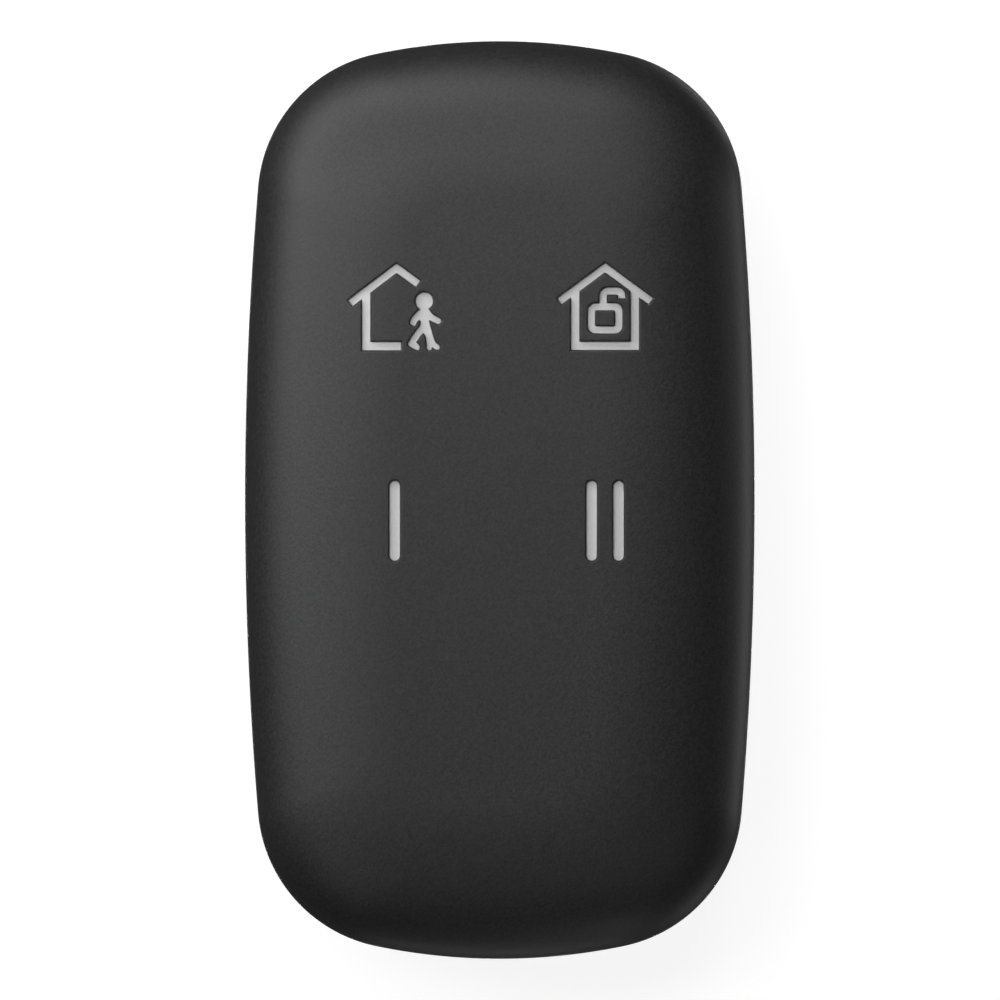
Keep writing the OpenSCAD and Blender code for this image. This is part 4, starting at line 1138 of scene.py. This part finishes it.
# %% Snap domes
# A dome is a shallow cap of sheet on its rim, which a pressed key flattens. Here each dome keeps its rest shape on the
# case.
DOME_RADIUS, DOME_RISE, DOME_SHEET = 1.75, 0.23, 0.08
DOME_TOP, DOME_FLOOR, DOME_KEPT = 7.73, 7.4, 0.12
DOME_STEPS, DOME_ROUND = 12, 48
dome_steel = finish("Spring steel, rolled", "#c9c6ba", "#dbd8cc", 0.26, 0.15, (8, 1, 1), spread=0.06, Metallic=1.0)
dome_curve = (DOME_RADIUS**2 + DOME_RISE**2) / (2 * DOME_RISE)
lean = np.linspace(0, math.asin(DOME_RADIUS / dome_curve), DOME_STEPS)
under_side, upper_side = [
    np.column_stack([radius * np.sin(lean), DOME_TOP - dome_curve + radius * np.cos(lean)]).tolist()
    for radius in (dome_curve - DOME_SHEET, dome_curve)
]
for key, spot in KEY_SPOTS.items():
    dome = smooth(drum("snap_dome_" + key, under_side + upper_side[::-1], DOME_ROUND, spot))
    wear(dome, dome_steel, "case", "dome_steel", "switch_dome_" + key)
    rim = (spot[0] * MM, spot[1] * MM, DOME_FLOOR * MM)
    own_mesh(dome)

# %% [markdown]
# ## The circuit board
# A board is glass-fibre laminate with copper tracks under a green lacquer. Over a track the lacquer is lighter and
# stands a hair higher. Tracks run in bundles, some along the board and some across it: square cells of a Voronoi
# pattern choose between two waves, and each wave draws parallel tracks. The sawn edge shows the pale laminate.

# %% Board
TRACK_PITCH, BUNDLE = 0.7, 4.5
BOARD_MIDDLE, BOARD_INSIDE = 6.6, 0.47
ACROSS_SHARE, TRACK_EDGE = 0.5, {"From Min": 0.5, "From Max": 0.62}
# Solder mask is a clear green varnish: glossy, and darker between the tracks.
board_green = finish("FR-4 laminate, green solder mask", "#1c5233", "#235d3c", 0.28, 0.25, relief=0.006, spread=0.05)
tree = board_green.node_tree
place = add(tree, "ShaderNodeTexCoord").outputs["Object"]
bundle = add(tree, "ShaderNodeTexVoronoi", {"Scale": 1 / (BUNDLE * MM)}, {"Vector": place}, distance="CHEBYCHEV")
choice = add(tree, "ShaderNodeSeparateColor", {}, {"Color": bundle.outputs["Color"]})
across = add(tree, "ShaderNodeMath", {1: ACROSS_SHARE}, {0: choice}, operation="GREATER_THAN")
# The wave texture draws a line every pi / 10 of its unit
wave = {"Scale": math.pi / (10 * TRACK_PITCH * MM)}
along_x, along_y = [
    add(tree, "ShaderNodeTexWave", wave, {"Vector": place}, bands_direction=axis).outputs["Fac"] for axis in ("Y", "X")
]
lines = add(tree, "ShaderNodeMix", {}, {"Factor": across, "A": along_x, "B": along_y})
track = add(tree, "ShaderNodeMapRange", TRACK_EDGE, {"Value": lines.outputs["Result"]})
lacquer = add(
    tree, "ShaderNodeMix", {"B": linear("#37784f")},
    {"Factor": track, "A": part(board_green, "tint")}, data_type="RGBA",
)
level = add(tree, "ShaderNodeSeparateXYZ", {}, {"Vector": place})
sawn = add(
    tree, "ShaderNodeMath", {1: BOARD_MIDDLE * MM, 2: BOARD_INSIDE * MM}, {0: level.outputs["Z"]}, operation="COMPARE"
)
colour = add(
    tree, "ShaderNodeMix", {"B": linear("#b3ab78")}, {"Factor": sawn, "A": lacquer.outputs["Result"]},
    data_type="RGBA",
)
tree.links.new(colour.outputs["Result"], part(board_green, "surface").inputs["Base Color"])
grain = part(board_green, "grain").outputs["Fac"]
raised = add(tree, "ShaderNodeMath", {}, {0: grain, 1: track}, operation="ADD")
tree.links.new(raised.outputs[0], part(board_green, "relief").inputs["Height"])
coat(board_green, "circuit_board")

# %% [markdown]
# ## On the board
# The radio chip is pressed in epoxy, the crystal sits in a drawn can, and the antenna is a strip of brass. The five
# passives are ceramic blocks with tinned ends: the distance from their middle decides between ceramic and tin.

# %% Chip, crystal, antenna and passives
coat(finish("Epoxy, transfer moulded, black", "#1b1c1e", "#232427", 0.55, 0.1, relief=0.006), "radio_chip")
coat(finish("Steel can, drawn and plated", "#c5c8cc", "#d9dbde", 0.25, 0.3, (10, 1, 1), Metallic=1.0), "crystal")
coat(finish("Brass, rolled strip", "#c09a58", "#d3b173", 0.3, 0.2, (1, 10, 1), Metallic=1.0), "antenna_strip")
PASSIVES_X, CERAMIC_HALF = -6.1, 0.5
# Fired ceramic is chalky and tan, and the tin on its ends is bright.
ceramic = finish("Ceramic, sintered, with tinned ends", "#a98a5c", "#bb9c6e", 0.42, 0.15, relief=0.003)
tree = ceramic.node_tree
level = add(tree, "ShaderNodeSeparateXYZ", {}, {"Vector": add(tree, "ShaderNodeTexCoord").outputs["Object"]})
body = add(
    tree, "ShaderNodeMath", {1: PASSIVES_X * MM, 2: CERAMIC_HALF * MM}, {0: level.outputs["X"]}, operation="COMPARE"
)
tinned = add(tree, "ShaderNodeMath", {0: 1.0}, {1: body}, operation="SUBTRACT")
colour = add(
    tree, "ShaderNodeMix", {"B": linear("#cbced1")}, {"Factor": tinned, "A": part(ceramic, "tint")}, data_type="RGBA"
)
tree.links.new(colour.outputs["Result"], part(ceramic, "surface").inputs["Base Color"])
tree.links.new(tinned.outputs[0], part(ceramic, "surface").inputs["Metallic"])
coat(ceramic, "chip_passives")

# %% [markdown]
# ## The coin cell and its contacts
# A coin cell's can is nickel plated and brushed in circles. The recipe's grain reads the distance from the cell's axis
# instead of the place, so it turns into rings, and the height is added so that the side has lines too. The two spring
# contacts are bronze strip, rolled lengthways.

# %% Cell and contacts
cell_nickel = finish(
    "Steel, nickel plated, brushed in circles", "#b6b9bb", "#d2d4d5", 0.28, 0.12, spread=0.07, Metallic=1.0
)
tree = cell_nickel.node_tree
place = part(cell_nickel, "place")
place.inputs["Location"].default_value = (CELL[0] * MM, CELL[1] * MM, 0)
axis_free = add(tree, "ShaderNodeVectorMath", {1: (1, 1, 0)}, {0: place}, operation="MULTIPLY")
ring_of = add(tree, "ShaderNodeVectorMath", {}, {0: axis_free}, operation="LENGTH")
level = add(tree, "ShaderNodeSeparateXYZ", {}, {"Vector": place})
brushed = add(tree, "ShaderNodeMath", {}, {0: ring_of.outputs["Value"], 1: level.outputs["Z"]}, operation="ADD")
tree.links.new(brushed.outputs[0], part(cell_nickel, "grain").inputs["Vector"])
coat(cell_nickel, "coin_cell")
coat(
    finish("Phosphor bronze, rolled strip", "#c9b184", "#dcc79d", 0.3, 0.2, (1, 10, 1), Metallic=1.0),
    "negative_contact", "positive_contact",
)

# %% [markdown]
# ## Floor, light and camera
# The fob lies on a plain white floor under soft studio light. The floor answers camera rays with a near-white of its
# own, so that the picture's ground is white without flooding the object with light, and it still takes a shadow. What
# mirrors the floor sees it pale under the fob, where the metal of the rear looks down on it, and dim round the fob,
# because in the photograph the edges of the black skin mirror a dim table. From below the floor is clear, so that the
# rear can be looked at too.

# %% Floor
FLOOR_REACH = 1500.0
GLOW = {"From Min": 60 * MM, "From Max": 400 * MM, "To Min": 0.87, "To Max": 1.0}
MIRRORED = {"From Min": 0.7, "From Max": 0.9, "To Min": 0.6, "To Max": 0.03}
floor_white = bpy.data.materials.new("Studio floor, white")
tree = blank(floor_white)
ray = add(tree, "ShaderNodeLightPath").outputs
place = add(tree, "ShaderNodeTexCoord")
away = add(tree, "ShaderNodeVectorMath", {}, {0: place.outputs["Object"]}, operation="LENGTH")
white = add(tree, "ShaderNodeMapRange", GLOW, {"Value": away.outputs["Value"]})
white = add(tree, "ShaderNodeMath", {}, {0: white, 1: ray["Is Camera Ray"]}, operation="MULTIPLY")
mirrored = add(
    tree, "ShaderNodeMath", {}, {0: ray["Is Glossy Ray"], 1: ray["Is Transmission Ray"]}, operation="MAXIMUM"
)
print_of = add(
    tree, "ShaderNodeVectorMath", {1: (1 / (HALF_WIDTH * MM), 1 / (HALF_LENGTH * MM), 0)},
    {0: place.outputs["Object"]}, operation="MULTIPLY",
)
print_of = add(tree, "ShaderNodeVectorMath", {}, {0: print_of}, operation="LENGTH")
dimming = add(tree, "ShaderNodeMapRange", MIRRORED, {"Value": print_of.outputs["Value"]})
level = add(tree, "ShaderNodeMath", {}, {0: mirrored, 1: dimming, 2: white}, operation="MULTIPLY_ADD")
tone = add(
    tree, "ShaderNodeMix", {"A": linear("#454545"), "B": linear("#8a8a8a")}, {"Factor": ray["Is Camera Ray"]},
    data_type="RGBA",
)
matt = add(tree, "ShaderNodeBsdfDiffuse", {}, {"Color": tone.outputs["Result"]})
glow = add(tree, "ShaderNodeEmission", {"Color": linear("#ffffff")}, {"Strength": level})
lit = add(tree, "ShaderNodeAddShader", {}, {0: matt, 1: glow})
back = add(tree, "ShaderNodeNewGeometry").outputs["Backfacing"]
clear = add(tree, "ShaderNodeBsdfTransparent")
open_way = add(tree, "ShaderNodeMath", {}, {0: back, 1: ray["Is Shadow Ray"]}, operation="MAXIMUM")
one_sided = add(tree, "ShaderNodeMixShader", {}, {0: open_way, 1: lit, 2: clear})
add(tree, "ShaderNodeOutputMaterial", {}, {"Surface": one_sided})
corners = [(*spot, 0.0) for spot in plate(-FLOOR_REACH, FLOOR_REACH, -FLOOR_REACH, FLOOR_REACH)]
floor = make("floor", corners, [(0, 1, 2, 3)])
floor.data.materials.append(floor_white)

# %% World
# White to the camera. What mirrors it sees a dim room, because the black skin in the photograph mirrors no white wall.
SKY_SEEN, SKY_MIRRORED, SKY_FILL = 1.0, 0.03, 0.03
world = bpy.data.worlds.new("Studio")
scene.world = world
tree = blank(world)
ray = add(tree, "ShaderNodeLightPath").outputs
mirrored = add(
    tree, "ShaderNodeMath", {}, {0: ray["Is Glossy Ray"], 1: ray["Is Transmission Ray"]}, operation="MAXIMUM"
)
level = add(tree, "ShaderNodeMapRange", {"To Min": SKY_FILL, "To Max": SKY_MIRRORED}, {"Value": mirrored})
level = add(
    tree, "ShaderNodeMath", {1: SKY_SEEN}, {0: ray["Is Camera Ray"], 2: level}, operation="MULTIPLY_ADD"
)
sky = add(tree, "ShaderNodeBackground", {"Color": linear("#ffffff")}, {"Strength": level})
add(tree, "ShaderNodeOutputWorld", {}, {"Surface": sky})

# %% Lamps
# Name: (degrees round from the right, degrees up, distance and size in metres, watts). The near ones overhead make the
# face fade from top to foot, and those below the floor light the rims and the rear through it.
LAMPS = {
    "bank_top": (105, 28, 0.3, 0.12, 0.267), "bank_corner": (135, 20, 0.3, 0.12, 0.24),
    "bank_left": (165, 28, 0.3, 0.12, 0.273), "bank_left_high": (165, 50, 0.3, 0.12, 0.129),
    "bank_right": (75, 38, 0.3, 0.12, 0.126), "overhead_top": (120, 65, 0.15, 0.06, 0.029),
    "overhead_left": (150, 65, 0.15, 0.06, 0.028), "overhead_right": (60, 65, 0.15, 0.06, 0.026),
    "foot_left": (230, 40, 0.3, 0.12, 0.055), "foot_right": (320, 40, 0.3, 0.12, 0.03),
    "foot": (285, 58, 0.3, 0.12, 0.03),
    "edge_right": (10, 3, 0.3, 0.05, 0.031), "edge_foot": (285, 3, 0.3, 0.05, 0.039),
    "rim_top": (45, -50, 0.3, 0.12, 0.042), "rim_right": (0, -30, 0.3, 0.12, 0.074),
    "rim_corner": (315, -30, 0.3, 0.12, 0.034), "rim_foot": (270, -30, 0.3, 0.12, 0.03),
    "under": (0, -90, 0.3, 0.2, 0.4),
}
for name, (around, up, distance, size, power) in LAMPS.items():
    light = bpy.data.lights.new(name, "AREA")
    light.shape, light.size, light.energy = "DISK", size, power
    light.cycles.use_multiple_importance_sampling = up > 0  # below the floor only shadow rays get through
    holder = bpy.data.objects.new(name, light)
    a, e = math.radians(around), math.radians(up)
    back = Vector((math.cos(a) * math.cos(e), math.sin(a) * math.cos(e), math.sin(e)))
    holder.location = back * distance
    holder.rotation_euler = back.to_track_quat("Z", "Y").to_euler()
    holder.visible_camera = False
    scene.collection.objects.link(holder)
print("lamps:", len(LAMPS))

# %% Camera
LENS, SENSOR = 1500.0, 36.0
FRAME_WIDTH, FRAME_SHIFT = 70.84, 0.015
NEAREST, FARTHEST = 0.05, 20.0
camera_data = bpy.data.cameras.new("camera")
camera_data.lens, camera_data.sensor_width = LENS, SENSOR
camera = bpy.data.objects.new("camera", camera_data)
camera.location = (FRAME_SHIFT * MM, 0.0, (FRAME_WIDTH * LENS / SENSOR + PARTING) * MM)
camera_data.clip_start, camera_data.clip_end = NEAREST, FARTHEST
scene.collection.objects.link(camera)
scene.camera = camera
scene.view_settings.view_transform = "Standard"
print("camera at", [round(c, 3) for c in camera.location])

# %% [markdown]
# ## Last update
# The pieces are drawn from the sizes of the solids, so that the visual model keeps to their box. This cell only updates
# the scene once more.

# %% Finish
bpy.context.view_layer.update()
